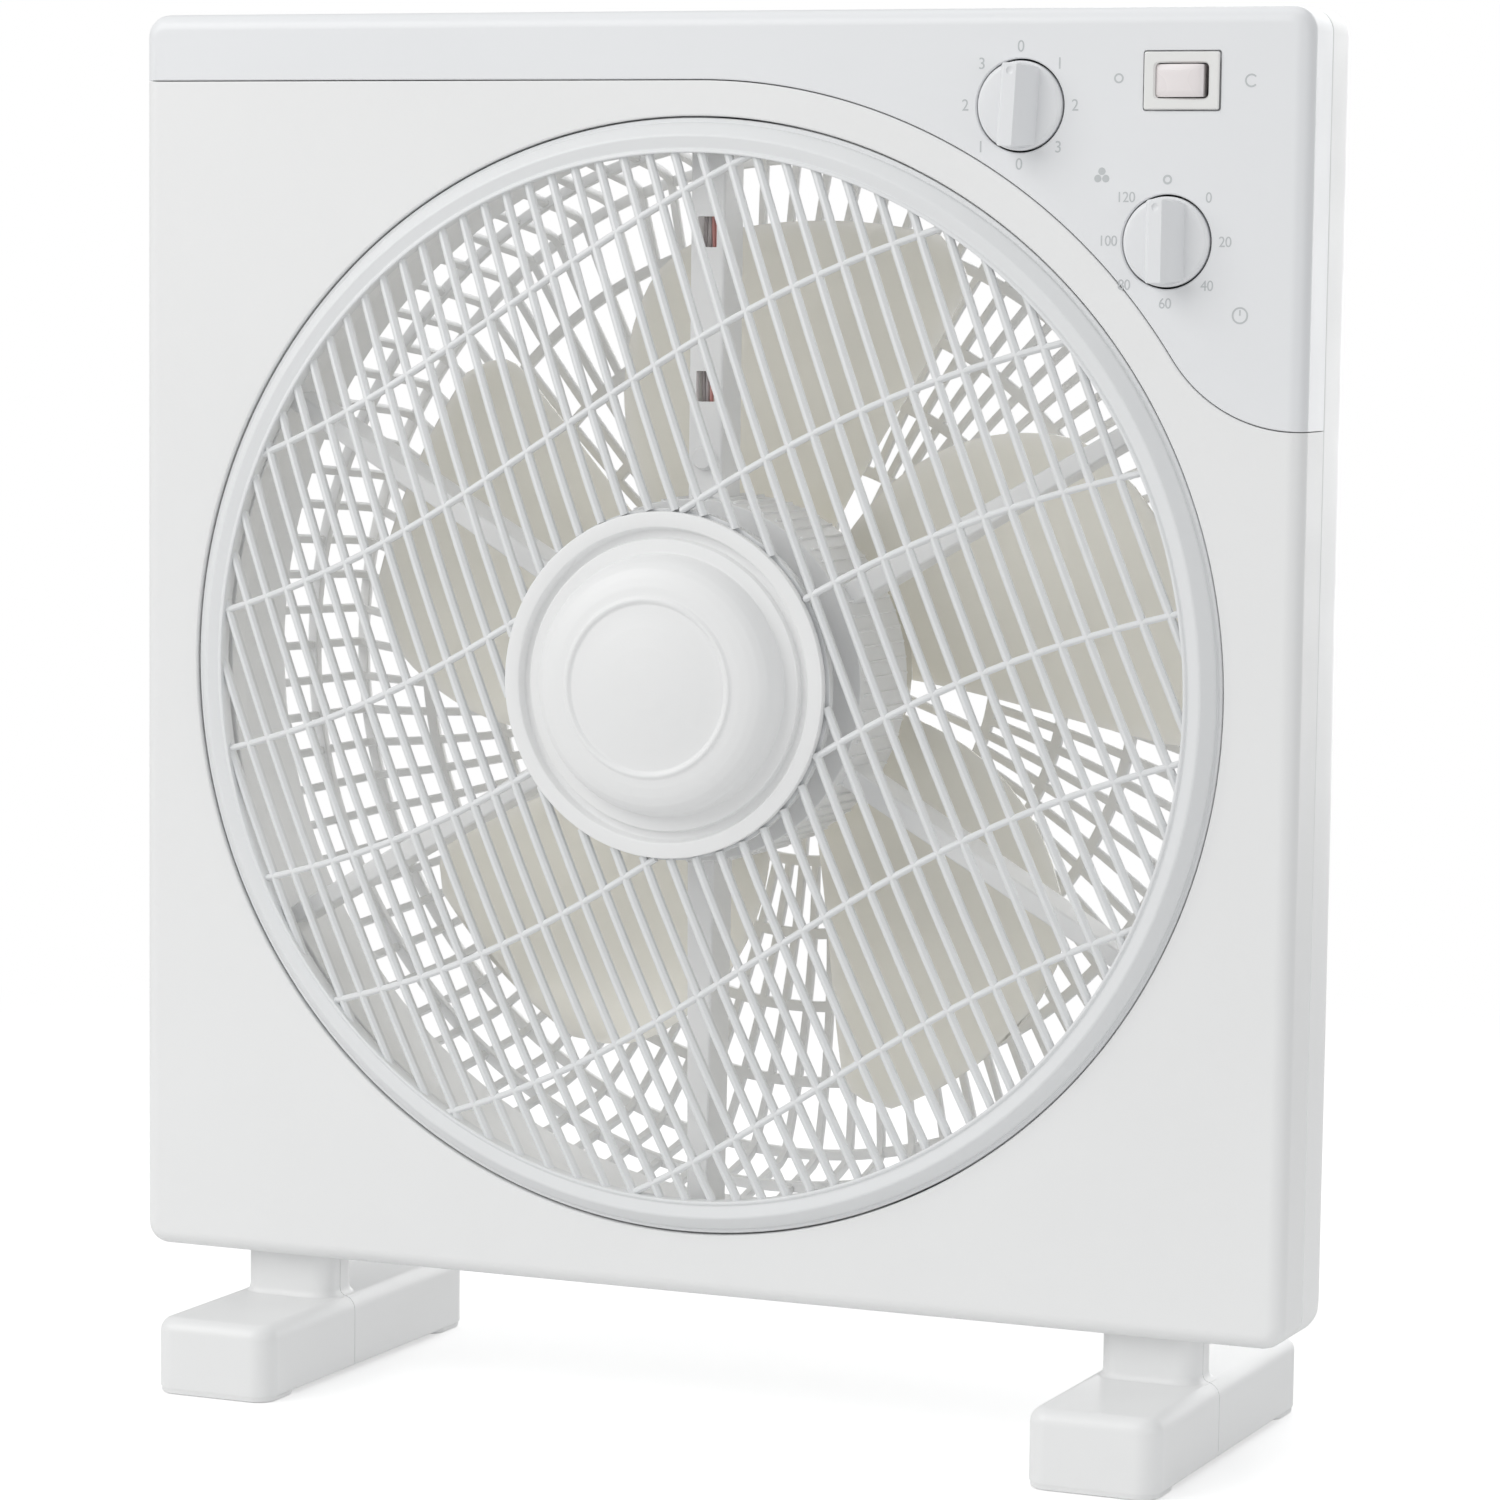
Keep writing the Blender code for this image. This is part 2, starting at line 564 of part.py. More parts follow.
# --- fan motor ---------------------------------------------------------------------------------
def make_motor_end(name, plate, lamination, inward, fan, steel, zinc, copper):
    """Bell, winding and bearing of one end; inward is the sign of the way to the motor's middle."""
    skin = plate + inward * BELL_SKIN
    rim = lamination - inward * GAP
    bearing = (skin + inward * GAP, skin + inward * (GAP + BEARING_LENGTH))
    bell = turned([(BELL_BORE, plate), (MOTOR_RADIUS, plate), (MOTOR_RADIUS, rim),
                   (MOTOR_RADIUS - BELL_SKIN, rim), (MOTOR_RADIUS - BELL_SKIN, skin),
                   (BEARING_SEAT[1], skin), (BEARING_SEAT[1], bearing[1]),
                   (BEARING_SEAT[0], bearing[1]), (BEARING_SEAT[0], skin), (BELL_BORE, skin)],
                  SMALL)
    piece(f"motor_{name}_bell", bell, fan, zinc)
    winding = tube(*WINDING, lamination - inward * WINDING_LENGTH, rim, SMALL)
    piece(f"{name}_winding", winding, fan, copper)
    piece(f"{name}_bearing", tube(SHAFT_RADIUS + GAP, BEARING_RADIUS, *bearing, 16), fan, steel)


def make_motor(fan, spin, steel, zinc, iron, copper):
    make_motor_end("front", MOTOR_FRONT, STATOR[0], 1, fan, steel, zinc, copper)
    make_motor_end("rear", MOTOR_BACK, STATOR[1], -1, fan, steel, zinc, copper)
    piece("motor_stator", tube(STATOR_BORE, MOTOR_RADIUS, *STATOR, SMALL), fan, iron)
    rotor = tube(SHAFT_RADIUS + GAP, ROTOR_RADIUS, STATOR[0] + 0.0008, STATOR[1] - 0.0008, SMALL)
    piece("motor_rotor", rotor, spin, iron)
    piece("motor_shaft", disc(SHAFT_RADIUS, MOTOR_FRONT + 0.0012, SHAFT_END, 16), spin, steel)


# --- fan blade ---------------------------------------------------------------------------------
def blade_corner(reach, across):
    """Angle and depth of a blade's point: reach 0 to 1 from hub to tip, across -1 to 1."""
    half_width = math.radians(19 + 10 * math.sin(math.pi * min(reach, 1.0) * 0.62))
    lean = math.radians(-3 + 8 * reach)
    corner = max(reach - 0.72, 0.0) / 0.28
    narrow = 1 - 0.32 * corner ** 2.4 if across > 0 else 1 - 0.14 * corner ** 3
    angle = lean + half_width * across * narrow
    middle = (BLADE_DEPTH[0] + BLADE_DEPTH[1]) / 2
    pitch = (BLADE_DEPTH[1] - BLADE_DEPTH[0]) / 2
    depth = middle - pitch * across * (0.62 + 0.30 * reach) + 0.0020 * (1 - across ** 2)
    return angle, depth


def blade_sheet(number):
    rows, columns = 5, 5
    base = math.radians(90 + 360 / BLADE_COUNT * number)
    bm = bmesh.new()
    grid = []
    for i in range(rows + 1):
        reach = i / rows
        row = []
        for j in range(columns + 1):
            across = -1 + 2 * j / columns
            angle, depth = blade_corner(reach, across)
            radius = BLADE_HUB - 0.0012 + (BLADE_TIP - BLADE_HUB + 0.0012) * reach
            row.append(bm.verts.new((radius * math.cos(base + angle), depth,
                                     radius * math.sin(base + angle))))
        grid.append(row)
    for i in range(rows):
        for j in range(columns):
            bm.faces.new((grid[i][j], grid[i][j + 1], grid[i + 1][j + 1], grid[i + 1][j]))
    return bm


def make_blade(spin, plastic, nut_plastic):
    front, back = HUB_DEPTH
    bore = SHAFT_RADIUS + 0.0004
    inner = back - 0.014
    outer = back + HUB_BOSS_PROUD
    bell = turned([(bore, inner), (HUB_BOSS, inner), (HUB_BOSS, back - WALL),
                   (BLADE_HUB - WALL, back - WALL), (BLADE_HUB - WALL, front), (BLADE_HUB, front),
                   (BLADE_HUB, back - 0.002), (BLADE_HUB - 0.002, back), (HUB_BOSS, back),
                   (HUB_BOSS, outer), (bore, outer)], MEDIUM)
    fan_blade = piece("fan_blade", bell, spin, plastic)
    for number in range(BLADE_COUNT):
        sheet = piece(f"blade_tool_{number + 1}", blade_sheet(number), spin, None)
        thick = sheet.modifiers.new("skin", "SOLIDIFY")
        thick.thickness = BLADE_SKIN
        thick.offset = 0.0
        add(fan_blade, sheet)
    start = outer + GAP
    end = start + NUT_LENGTH
    nut = turned([(SHAFT_RADIUS + GAP, start), (NUT_RADIUS, start), (NUT_RADIUS, start + 0.005),
                  (NUT_RADIUS * 0.72, end - 0.0008), (0, end), (0, SHAFT_END + GAP),
                  (SHAFT_RADIUS + GAP, SHAFT_END + GAP)], 24)
    piece("blade_nut", nut, spin, nut_plastic)


# --- rear grille -------------------------------------------------------------------------------
def grille_stations():
    """Bands from the rim to the middle: (radius, depth, band that follows is solid)."""
    half = GRILLE_BAR / 2
    rim = DUCT_DEPTH + GAP + half
    side_radius, side_depth = GRILLE_SIDE_RING
    stations = [(DUCT_RADIUS + 0.0035, rim, True), (DUCT_RADIUS + 0.0030, rim + 0.004, False),
                (side_radius, side_depth - half, True), (side_radius - 0.0006, side_depth + half, False),
                (GRILLE_RINGS[0] + 0.0015, GRILLE_PLANE - 0.004, True),
                (GRILLE_RINGS[0] - 0.0010, GRILLE_PLANE, False)]
    for radius in GRILLE_RINGS[1:]:
        stations += [(radius + half, GRILLE_PLANE, True), (radius - half, GRILLE_PLANE, False)]
    stations.append((GRILLE_DISC, GRILLE_PLANE, True))
    stations.append((GRILLE_DISC * 0.55, GRILLE_PLANE, True))
    return stations


def make_rear_grille(fan, plastic):
    stations = grille_stations()
    bm = bmesh.new()
    rows = []
    for radius, depth, _ in stations:
        row = []
        for number in range(GRILLE_RIBS):
            middle = 2 * math.pi * number / GRILLE_RIBS
            half = GRILLE_BAR / 2 / radius
            for turn in (middle - half, middle + half):
                row.append(bm.verts.new((radius * math.cos(turn), depth, radius * math.sin(turn))))
        rows.append(row)
    count = 2 * GRILLE_RIBS
    for i in range(len(stations) - 1):
        for j in range(count):
            on_rib = j % 2 == 0
            if on_rib or stations[i][2]:
                k = (j + 1) % count
                bm.faces.new((rows[i][j], rows[i][k], rows[i + 1][k], rows[i + 1][j]))
    bm.faces.new(rows[-1])
    grille = piece("rear_grille", bm, fan, plastic)
    thick = grille.modifiers.new("bars", "SOLIDIFY")
    thick.thickness = GRILLE_BAR
    thick.offset = 0.0
    thick.use_even_offset = True


# --- controls ----------------------------------------------------------------------------------
def make_knob(name, knob, trim):
    """Round disc with a tapered grip ridge across it and a socket for the spindle behind."""
    stem, stem_end = KNOB_STEM
    body = turned([(0, KNOB_FACE), (KNOB_RADIUS - 0.0006, KNOB_FACE),
                   (KNOB_RADIUS, KNOB_FACE + 0.0006), (KNOB_RADIUS, KNOB_BACK), (stem, KNOB_BACK),
                   (stem, stem_end), (0, stem_end)], 24)
    made = piece(name, body, knob, trim)
    reach = KNOB_RADIUS - 0.0008
    loops = []
    for width, depth in zip(GRIP_WIDTHS, (KNOB_FACE + 0.0010, GRIP_SHOULDER, GRIP_PROUD)):
        half = width / 2
        ends = [(x, math.sqrt(reach ** 2 - x ** 2)) for x in (half, half / 2, -half / 2, -half)]
        outline = ends + [(x, -z) for x, z in reversed(ends)]
        loops.append([(x, depth, z) for x, z in outline])
    add(made, piece(name + "_grip", loft(loops), knob, None))
    socket = disc(SPINDLE_RADIUS + GAP, SPINDLE_FRONT - GAP, stem_end + 0.002, 16)
    cut(made, piece(name + "_socket", socket, knob, None))


def make_rotary(name, size, static, knob, spot, housing, steel):
    """Switch or timer body behind the panel, and the spindle that carries its knob."""
    x, z = spot
    radius, length = size
    bore = SPINDLE_RADIUS + 2 * GAP
    front = SWITCH_FRONT
    spindle_end = front + 0.0057
    body = turned([(bore, front), (radius, front), (radius, front + length), (0, front + length),
                   (0, spindle_end + GAP), (bore, spindle_end + GAP)], 24, x, z)
    piece(name + "_body", body, static, housing)
    piece(name + "_spindle", disc(SPINDLE_RADIUS, SPINDLE_FRONT, spindle_end, 16), knob, steel)


def make_rocker(case, rocker, trim, cream):
    width, height = BEZEL_SIZE
    x, z = ROCKER
    switch = block(width, height, -0.0009, -GAP, 0.0006, x, z)
    bezel = piece("rocker_housing", switch, case, trim)
    box = block(width - 0.0026, height - 0.0026, -0.0006, 0.0190, 0.0005, x, z)
    add(bezel, piece("rocker_box", box, case, None))
    slot = block(*ROCKER_SLOT, -0.01, 0.0135, 0.0003, x, z)
    cut(bezel, piece("rocker_slot", slot, case, None))
    half = ROCKER_SIZE[0] / 2
    radius = 0.0300
    outline = []
    for step in range(9):
        px = half * (1 - step / 4)
        outline.append((px, radius - math.sqrt(radius ** 2 - px ** 2) - 0.0020 - ROCKER_PIVOT_DEPTH))
    outline += [(-half + 0.0012, 0.0005), (-0.002, 0.0050), (0.002, 0.0050), (half - 0.0012, 0.0005)]
    loops = [[(px, depth, height) for px, depth in outline]
             for height in (-ROCKER_SIZE[1] / 2, ROCKER_SIZE[1] / 2)]
    piece("louver_rocker", loft(loops), rocker, cream)


def make_electrics(case, housing, zinc):
    capacitor = block(0.038, 0.026, 0.0240, 0.0400, 0.002, *CAPACITOR)
    piece("run_capacitor", capacitor, case, housing)
    terminals = block(0.030, 0.016, 0.0280, 0.0400, 0.001, *TERMINALS)
    piece("terminal_block", terminals, case, zinc)


# --- build -------------------------------------------------------------------------------------
def main():
    for item in list(bpy.data.objects):
        bpy.data.objects.remove(item, do_unlink=True)

    white = material("white_plastic", (0.82, 0.83, 0.83), 0.38)
    trim = material("panel_plastic", (0.78, 0.79, 0.81), 0.35)
    tan = material("blade_plastic", (0.62, 0.59, 0.54), 0.30)
    cream = material("rocker_plastic", (0.80, 0.76, 0.76), 0.30)
    housing = material("switch_housing", (0.10, 0.10, 0.11), 0.5)
    rubber = material("rubber", (0.55, 0.55, 0.55), 0.8)
    steel = material("steel", (0.60, 0.60, 0.62), 0.3, 1.0)
    zinc = material("zinc_plate", (0.55, 0.56, 0.58), 0.4, 1.0)
    iron = material("lamination", (0.22, 0.22, 0.23), 0.6, 0.6)
    copper = material("winding", (0.55, 0.22, 0.12), 0.45)

    case = anchor("case_anchor", 0.0, 0.0)
    fan = anchor("axis_anchor", AXIS_X, 0.0)
    spin = anchor("fan_spin", AXIS_X, 0.0)
    louver = anchor("louver_spin", AXIS_X, 0.0)
    speed = anchor("speed_turn", *SPEED_KNOB)
    timer = anchor("timer_turn", *TIMER_KNOB)
    rocker = anchor("rocker_tip", *ROCKER, ROCKER_PIVOT_DEPTH)
    rocker.rotation_euler.z = -ROCKER_TILT

    make_front_shell(case, fan, white)
    make_control_panel(case, trim)
    make_rear_shell(case, fan, white)
    make_case_screws(case, steel)
    make_cord_gland(case, rubber)
    make_feet(case, white)

    make_louver(louver, white)
    make_louver_cap(louver, white)
    make_louver_drive(louver, fan, steel, zinc)
    make_bracket(fan, white)
    make_wire_loom(fan, copper)

    make_motor(fan, spin, steel, zinc, iron, copper)
    make_blade(spin, tan, white)
    make_rear_grille(fan, white)

    make_knob("speed_knob", speed, trim)
    make_knob("timer_knob", timer, trim)
    make_rotary("speed_switch", SPEED_SWITCH, case, speed, SPEED_KNOB, housing, steel)
    make_rotary("timer", TIMER, case, timer, TIMER_KNOB, housing, steel)
    make_rocker(case, rocker, trim, cream)
    make_electrics(case, housing, zinc)


main()
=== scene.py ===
import json
from math import acos, atan2, ceil, cos, degrees, hypot, pi, radians, sin, sqrt

import bmesh
import bpy
from mathutils import Matrix, Vector


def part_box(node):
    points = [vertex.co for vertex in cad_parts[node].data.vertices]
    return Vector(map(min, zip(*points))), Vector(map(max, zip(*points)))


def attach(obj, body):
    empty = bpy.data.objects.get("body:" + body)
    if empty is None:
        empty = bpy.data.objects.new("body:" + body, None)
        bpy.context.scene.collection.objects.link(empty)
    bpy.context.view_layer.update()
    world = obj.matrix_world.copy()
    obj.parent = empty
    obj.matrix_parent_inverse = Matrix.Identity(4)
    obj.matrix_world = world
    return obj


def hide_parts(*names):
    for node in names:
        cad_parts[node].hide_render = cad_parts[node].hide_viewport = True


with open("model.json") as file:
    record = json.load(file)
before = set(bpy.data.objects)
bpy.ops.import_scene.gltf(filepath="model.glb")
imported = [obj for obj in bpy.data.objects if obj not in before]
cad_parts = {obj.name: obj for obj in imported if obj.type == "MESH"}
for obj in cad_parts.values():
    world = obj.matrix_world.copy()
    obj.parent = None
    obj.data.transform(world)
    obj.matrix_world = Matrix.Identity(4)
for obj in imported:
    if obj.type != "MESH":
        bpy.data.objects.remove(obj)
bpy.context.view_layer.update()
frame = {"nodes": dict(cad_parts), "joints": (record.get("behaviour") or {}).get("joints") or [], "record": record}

# Shapes are drawn in (x, depth, z): x to the right, depth behind the front face (negative is proud
# of it), z up from the fan's axis. The anchors CASE and AXIS turn that into the frame's metres.

# --- measures ---
joints = {joint["name"]: Vector(joint["pos_m"]) for joint in frame["joints"]}
AXIS = joints["louver_spin"]
FACE = AXIS.y
CASE = Vector((0.0, FACE, AXIS.z))


def depths(node):
    """Front and back of a CAD node as depths behind the face."""
    low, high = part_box(node)
    return low.y - FACE, high.y - FACE


def size_of(node):
    low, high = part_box(node)
    return high - low


def spot_of(node):
    """Middle of a CAD node, measured from CASE."""
    low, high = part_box(node)
    return (low + high) / 2 - CASE


def radius_of(node):
    """Largest radius of a round CAD node."""
    return size_of(node).x / 2


GAP = 0.0003  # clearance between touching pieces
WALL = 0.0025
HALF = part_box("rear_shell")[1].x  # half the case's width
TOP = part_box("rear_shell")[1].z - AXIS.z
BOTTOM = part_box("rear_shell")[0].z - AXIS.z
FRONT_RIM = depths("rear_shell")[0] - GAP
REAR_RIM = depths("rear_shell")[0]
CORNER = 0.007
FILLET = 0.005
SEAM_ROUND = 0.0005
REAR_STRAIGHT = 0.0335
REAR_ROUND = 0.02
BACK = REAR_STRAIGHT + REAR_ROUND
OPENING = 0.1693
DUCT = 0.1662
DUCT_LIP = 0.0022
DUCT_DEPTH = depths("rear_shell")[1]
PANEL_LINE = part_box("front_shell")[1].z - AXIS.z
PANEL_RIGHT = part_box("control_panel")[0].z - AXIS.z - GAP
PANEL_TURN = 0.045

RING_INNER = 0.1583
RING_OUTER = radius_of("louver_grille")
SLAT_TILT = radians(22.30)
SLAT_PITCH = 0.008075
SLAT_PHASE = -0.232
BAR_TILT = radians(22.5)
BAR_PITCH = 0.0426
BAR_PHASE = -0.015
BAR_SWAY = (0.012, 0.2)
SLAT_SECTION = ((-0.00115, 0.0025), (-0.00115, 0.0009), (-0.0004, 0.0001), (0.0, 0.0),
                (0.0004, 0.0001), (0.00115, 0.0009), (0.00115, 0.0025))
BAR_SECTION = ((-0.001, 0.0025), (-0.001, 0.0008), (-0.0004, 0.0001), (0.0, 0.0),
               (0.0004, 0.0001), (0.001, 0.0008), (0.001, 0.0025))
DOME_EDGE = -0.0029
DOME_MIDDLE = -0.0182
DOME_POWER = 1.55
CAP = radius_of("louver_cap")
CAP_RIM = -0.0199
HUB_PLATE = (CAP + 0.0008, -0.016, -0.013)
KNOB_HOLE = radius_of("speed_knob") + 0.0006

# --- camera ---
CAMERA_PLACE = Vector((0.63029, -1.42637, 0.12506))
CAMERA_TURN = radians(23.183)
CAMERA_DOWN = radians(6.332)
CAMERA_ROLL = radians(0.718)
CAMERA_LENS = 124.25
CAMERA_SHIFT = 0.06


def add_camera():
    data = bpy.data.cameras.new("camera")
    data.lens = CAMERA_LENS
    data.sensor_width = 36.0
    data.shift_y = CAMERA_SHIFT
    data.clip_start = 0.05
    camera = put("camera", data)
    ahead = Vector((-sin(CAMERA_TURN) * cos(CAMERA_DOWN),
                    cos(CAMERA_TURN) * cos(CAMERA_DOWN), -sin(CAMERA_DOWN)))
    level = Vector((cos(CAMERA_TURN), sin(CAMERA_TURN), 0.0))
    above = level.cross(ahead)
    right = cos(CAMERA_ROLL) * level + sin(CAMERA_ROLL) * above
    up = right.cross(ahead)
    turn = Matrix((right, up, -ahead)).transposed().to_4x4()
    camera.matrix_world = Matrix.Translation(CASE + CAMERA_PLACE) @ turn
    bpy.context.scene.camera = camera


# --- mesh helpers ---
def arc(x, z, radius, start, end, steps):
    """Points of an arc, both ends included; angles in degrees."""
    points = []
    for step in range(steps + 1):
        t = radians(start + (end - start) * step / steps)
        points.append((x + radius * cos(t), z + radius * sin(t)))
    return points


def soften(profile, radius, steps=3, closed=True):
    """Round the corners of a polyline of (a, b) points by arcs that start at most radius away."""
    points = [Vector(p) for p in profile]
    count = len(points)
    softened = []
    for i, point in enumerate(points):
        if not closed and i in (0, count - 1):
            softened.append(tuple(point))
            continue
        before = points[i - 1] - point
        after = points[(i + 1) % count] - point
        reach = min(radius, before.length * 0.45, after.length * 0.45)
        start = point + before.normalized() * reach
        end = point + after.normalized() * reach
        for step in range(steps + 1):
            t = step / steps
            softened.append(tuple(start * (1 - t) ** 2 + point * (2 * t * (1 - t)) + end * t ** 2))
    return softened


def stack(loops, cyclic=False):
    """Closed skin through loops of (x, depth, z) points that all have the same count."""
    bm = bmesh.new()
    rows = [[bm.verts.new(point) for point in loop] for loop in loops]
    for row, following in zip(rows, rows[1:] + (rows[:1] if cyclic else [])):
        for step in range(len(row)):
            after = (step + 1) % len(row)
            bm.faces.new((row[step], row[after], following[after], following[step]))
    if not cyclic:
        bm.faces.new(rows[0])
        bm.faces.new(rows[-1])
    return bm


def turned(profile, segments, x=0.0, z=0.0):
    """Solid of revolution about the depth direction. The profile is a loop of (radius, depth)."""
    bm = bmesh.new()
    rings = []
    for radius, depth in profile:
        count = segments if radius > 1e-7 else 1
        turns = [2 * pi * step / segments for step in range(count)]
        rings.append([bm.verts.new((x + radius * cos(t), depth, z + radius * sin(t)))
                      for t in turns])
    for ring, following in zip(rings, rings[1:] + rings[:1]):
        if len(ring) == 1 and len(following) == 1:
            continue
        for step in range(segments):
            after = (step + 1) % segments
            corners = (ring[step % len(ring)], ring[after % len(ring)],
                       following[after % len(following)], following[step % len(following)])
            bm.faces.new(list(dict.fromkeys(corners)))
    return bm


def oblong(left, right, low, high):
    return [(left, low), (right, low), (right, high), (left, high)]


def band(inner, outer, front, back, softness, segments):
    """Ring whose section is a rectangle with rounded corners."""
    return turned(soften(oblong(inner, outer, front, back), softness), segments)


def pin(radius, front, back, segments, x=0.0, z=0.0):
    return turned(oblong(0, radius, front, back), segments, x, z)


def behind(base, *points):
    """Profile points (radius, depth) moved back by base."""
    return [(radius, base + depth) for radius, depth in points]


def raised(outline, depth):
    return [(x, depth, z) for x, z in outline]


def prism(outline, front, back):
    return stack([raised(outline, front), raised(outline, back)])


def at_angle(turn, along, across):
    return along * cos(turn) - across * sin(turn), along * sin(turn) + across * cos(turn)


def spoke(turn, corners, front, back, x=0.0, z=0.0):
    """Prism with corners (along, across) a direction from a point."""
    spots = [at_angle(turn, *corner) for corner in corners]
    return prism([(x + right, z + up) for right, up in spots], front, back)


def rounded(left, right, low, high, radius, steps=8):
    """Outline of a rectangle with rounded corners."""
    outline = []
    for x, z, start in ((right - radius, high - radius, 0), (left + radius, high - radius, 90),
                        (left + radius, low + radius, 180), (right - radius, low + radius, 270)):
        outline += arc(x, z, radius, start, start + 90, steps)
    return outline


def box_outline(width, height, radius, x=0.0, z=0.0):
    return rounded(x - width / 2, x + width / 2, z - height / 2, z + height / 2, radius, 5)


def quarter(*turns):
    """(1 - cosine, sine) at angles in degrees, for the levels of a rounded edge."""
    return [(1 - cos(radians(turn)), sin(radians(turn))) for turn in turns]


def rod(stations, section, sideways):
    """Bar through stations (x, depth, z); its section is (side, depth) along sideways (x, z)."""
    return stack([[(x + side * sideways[0], depth + back, z + side * sideways[1])
                   for side, back in section] for x, depth, z in stations])


def tube(points, radius, sides):
    """Round bar along points (x, depth, z)."""
    path = [Vector(p) for p in points]
    loops = []
    side = None
    for i, point in enumerate(path):
        ahead = (path[min(i + 1, len(path) - 1)] - path[max(i - 1, 0)]).normalized()
        if side is None:
            side = ahead.orthogonal().normalized()
        side = (side - ahead * side.dot(ahead)).normalized()
        other = ahead.cross(side)
        loops.append([tuple(point + radius * (side * cos(t) + other * sin(t)))
                      for t in (2 * pi * k / sides for k in range(sides))])
    return stack(loops)


def merge(*parts):
    """One bmesh that holds several, which stay separate shells."""
    whole = bmesh.new()
    mesh = bpy.data.meshes.new("part")
    for part in parts:
        bmesh.ops.recalc_face_normals(part, faces=part.faces)
        part.to_mesh(mesh)
        whole.from_mesh(mesh)
        part.free()
    bpy.data.meshes.remove(mesh)
    return whole


def put(name, data):
    """New object in the scene."""
    made = bpy.data.objects.new(name, data)
    bpy.context.scene.collection.objects.link(made)
    return made


def evaluated(made):
    """New mesh of what an object's modifiers or text make."""
    bpy.context.view_layer.update()
    graph = bpy.context.evaluated_depsgraph_get()
    return bpy.data.meshes.new_from_object(made.evaluated_get(graph))


def solid(bm):
    """Closed bmesh as a plain object, for booleans."""
    bmesh.ops.remove_doubles(bm, verts=bm.verts, dist=1e-7)
    bmesh.ops.recalc_face_normals(bm, faces=bm.faces)
    mesh = bpy.data.meshes.new("solid")
    bm.to_mesh(mesh)
    bm.free()
    return put("solid", mesh)


def combine(target, tools, operation):
    for tool in map(solid, tools):
        change = target.modifiers.new("change", "BOOLEAN")
        change.operation = operation
        change.solver = "MANIFOLD"
        change.object = tool
        old = target.data
        mesh = evaluated(target)
        target.modifiers.clear()
        target.data = mesh
        bpy.data.meshes.remove(old)
        bpy.data.objects.remove(tool)


def join(target, *tools):
    combine(target, tools, "UNION")


def cut(target, *tools):
    combine(target, tools, "DIFFERENCE")


def piece(name, shape, anchor, body, nodes, smooth=35, weighted=False, slot="white_plastic",
          tone=None):
    """Finished object from a bmesh or a solid: placed, shaded, painted, riding and standing in."""
    made = shape if isinstance(shape, bpy.types.Object) else solid(shape)
    made.name = name
    made.data.name = name
    made.data.transform(Matrix.Translation(anchor))
    made.data.materials.clear()
    made.data.materials.append(materials[tone or slot])
    made.data.shade_smooth()
    made.data.set_sharp_from_angle(angle=radians(smooth))
    if weighted:
        change = made.modifiers.new("even_shading", "WEIGHTED_NORMAL")
        change.keep_sharp = True
        change.weight = 100
    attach(made, body)
    if nodes:
        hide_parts(*nodes)


# --- materials ---
def fill(tree, node, sockets):
    """Set a node's sockets to numbers, or feed them from the outputs of other nodes."""
    for name, value in sockets.items():
        if isinstance(value, bpy.types.NodeSocket):
            tree.links.new(value, node.inputs[name])
        else:
            node.inputs[name].default_value = value
    return node


def add_node(tree, kind, sockets):
    return fill(tree, tree.nodes.new("ShaderNode" + kind), sockets)


def new_material(name, roughness, metallic=0.0):
    made = bpy.data.materials.new(name)
    made.use_nodes = True
    tree = made.node_tree
    shader = fill(tree, tree.nodes["Principled BSDF"], {"Metallic": metallic, "Roughness": roughness})
    return made, tree, shader, add_node(tree, "TexCoord", {}).outputs["Object"]


def noise_node(tree, coords, scale, detail=3.0, stretch=None):
    """Noise texture's value; stretch squeezes it along each direction."""
    if stretch:
        coords = add_node(tree, "Mapping", {"Scale": stretch, "Vector": coords}).outputs["Vector"]
    sockets = {"Scale": scale, "Detail": detail, "Vector": coords}
    return add_node(tree, "TexNoise", sockets).outputs["Fac"]


def ramp_node(tree, value, *stops):
    """Colour ramp of (position, colour) stops."""
    node = add_node(tree, "ValToRGB", {"Fac": value})
    elements = node.color_ramp.elements
    while len(elements) < len(stops):
        elements.new(0.5)
    for element, (position, color) in zip(elements, stops):
        element.position = position
        element.color = (*color, 1.0)
    return node.outputs["Color"]


def range_node(tree, value, low, high, start=0.3, end=0.7):
    sockets = {"Value": value, "From Min": start, "From Max": end, "To Min": low, "To Max": high}
    return add_node(tree, "MapRange", sockets).outputs["Result"]


def bump_node(tree, shader, height, distance, strength=1.0):
    sockets = {"Height": height, "Distance": distance, "Strength": strength}
    fill(tree, shader, {"Normal": add_node(tree, "Bump", sockets).outputs["Normal"]})


def shade(color, factor):
    return tuple(min(channel * factor, 1.0) for channel in color)


def plastic(name, color, roughness, grain, mottle=0.012, soft=0.0):
    """Moulded plastic: faint clouds of tone and gloss, and a fine tool grain."""
    made, tree, shader, coords = new_material(name, roughness)
    tone = ramp_node(tree, noise_node(tree, coords, 9.0, 4.0), (0.32, shade(color, 1 - mottle)),
                     (0.5, color), (0.68, shade(color, 1 + mottle)))
    gloss = range_node(tree, noise_node(tree, coords, 38.0, 2.0), roughness - 0.03, roughness + 0.04)
    fill(tree, shader, {"Base Color": tone, "Roughness": gloss, "IOR": 1.5})
    bump_node(tree, shader, noise_node(tree, coords, 1700.0, 2.0), grain)
    if soft:
        fill(tree, shader, {"Subsurface Weight": soft, "Subsurface Scale": 0.008,
                            "Subsurface Radius": (1.0, 1.0, 1.0)})
    return made


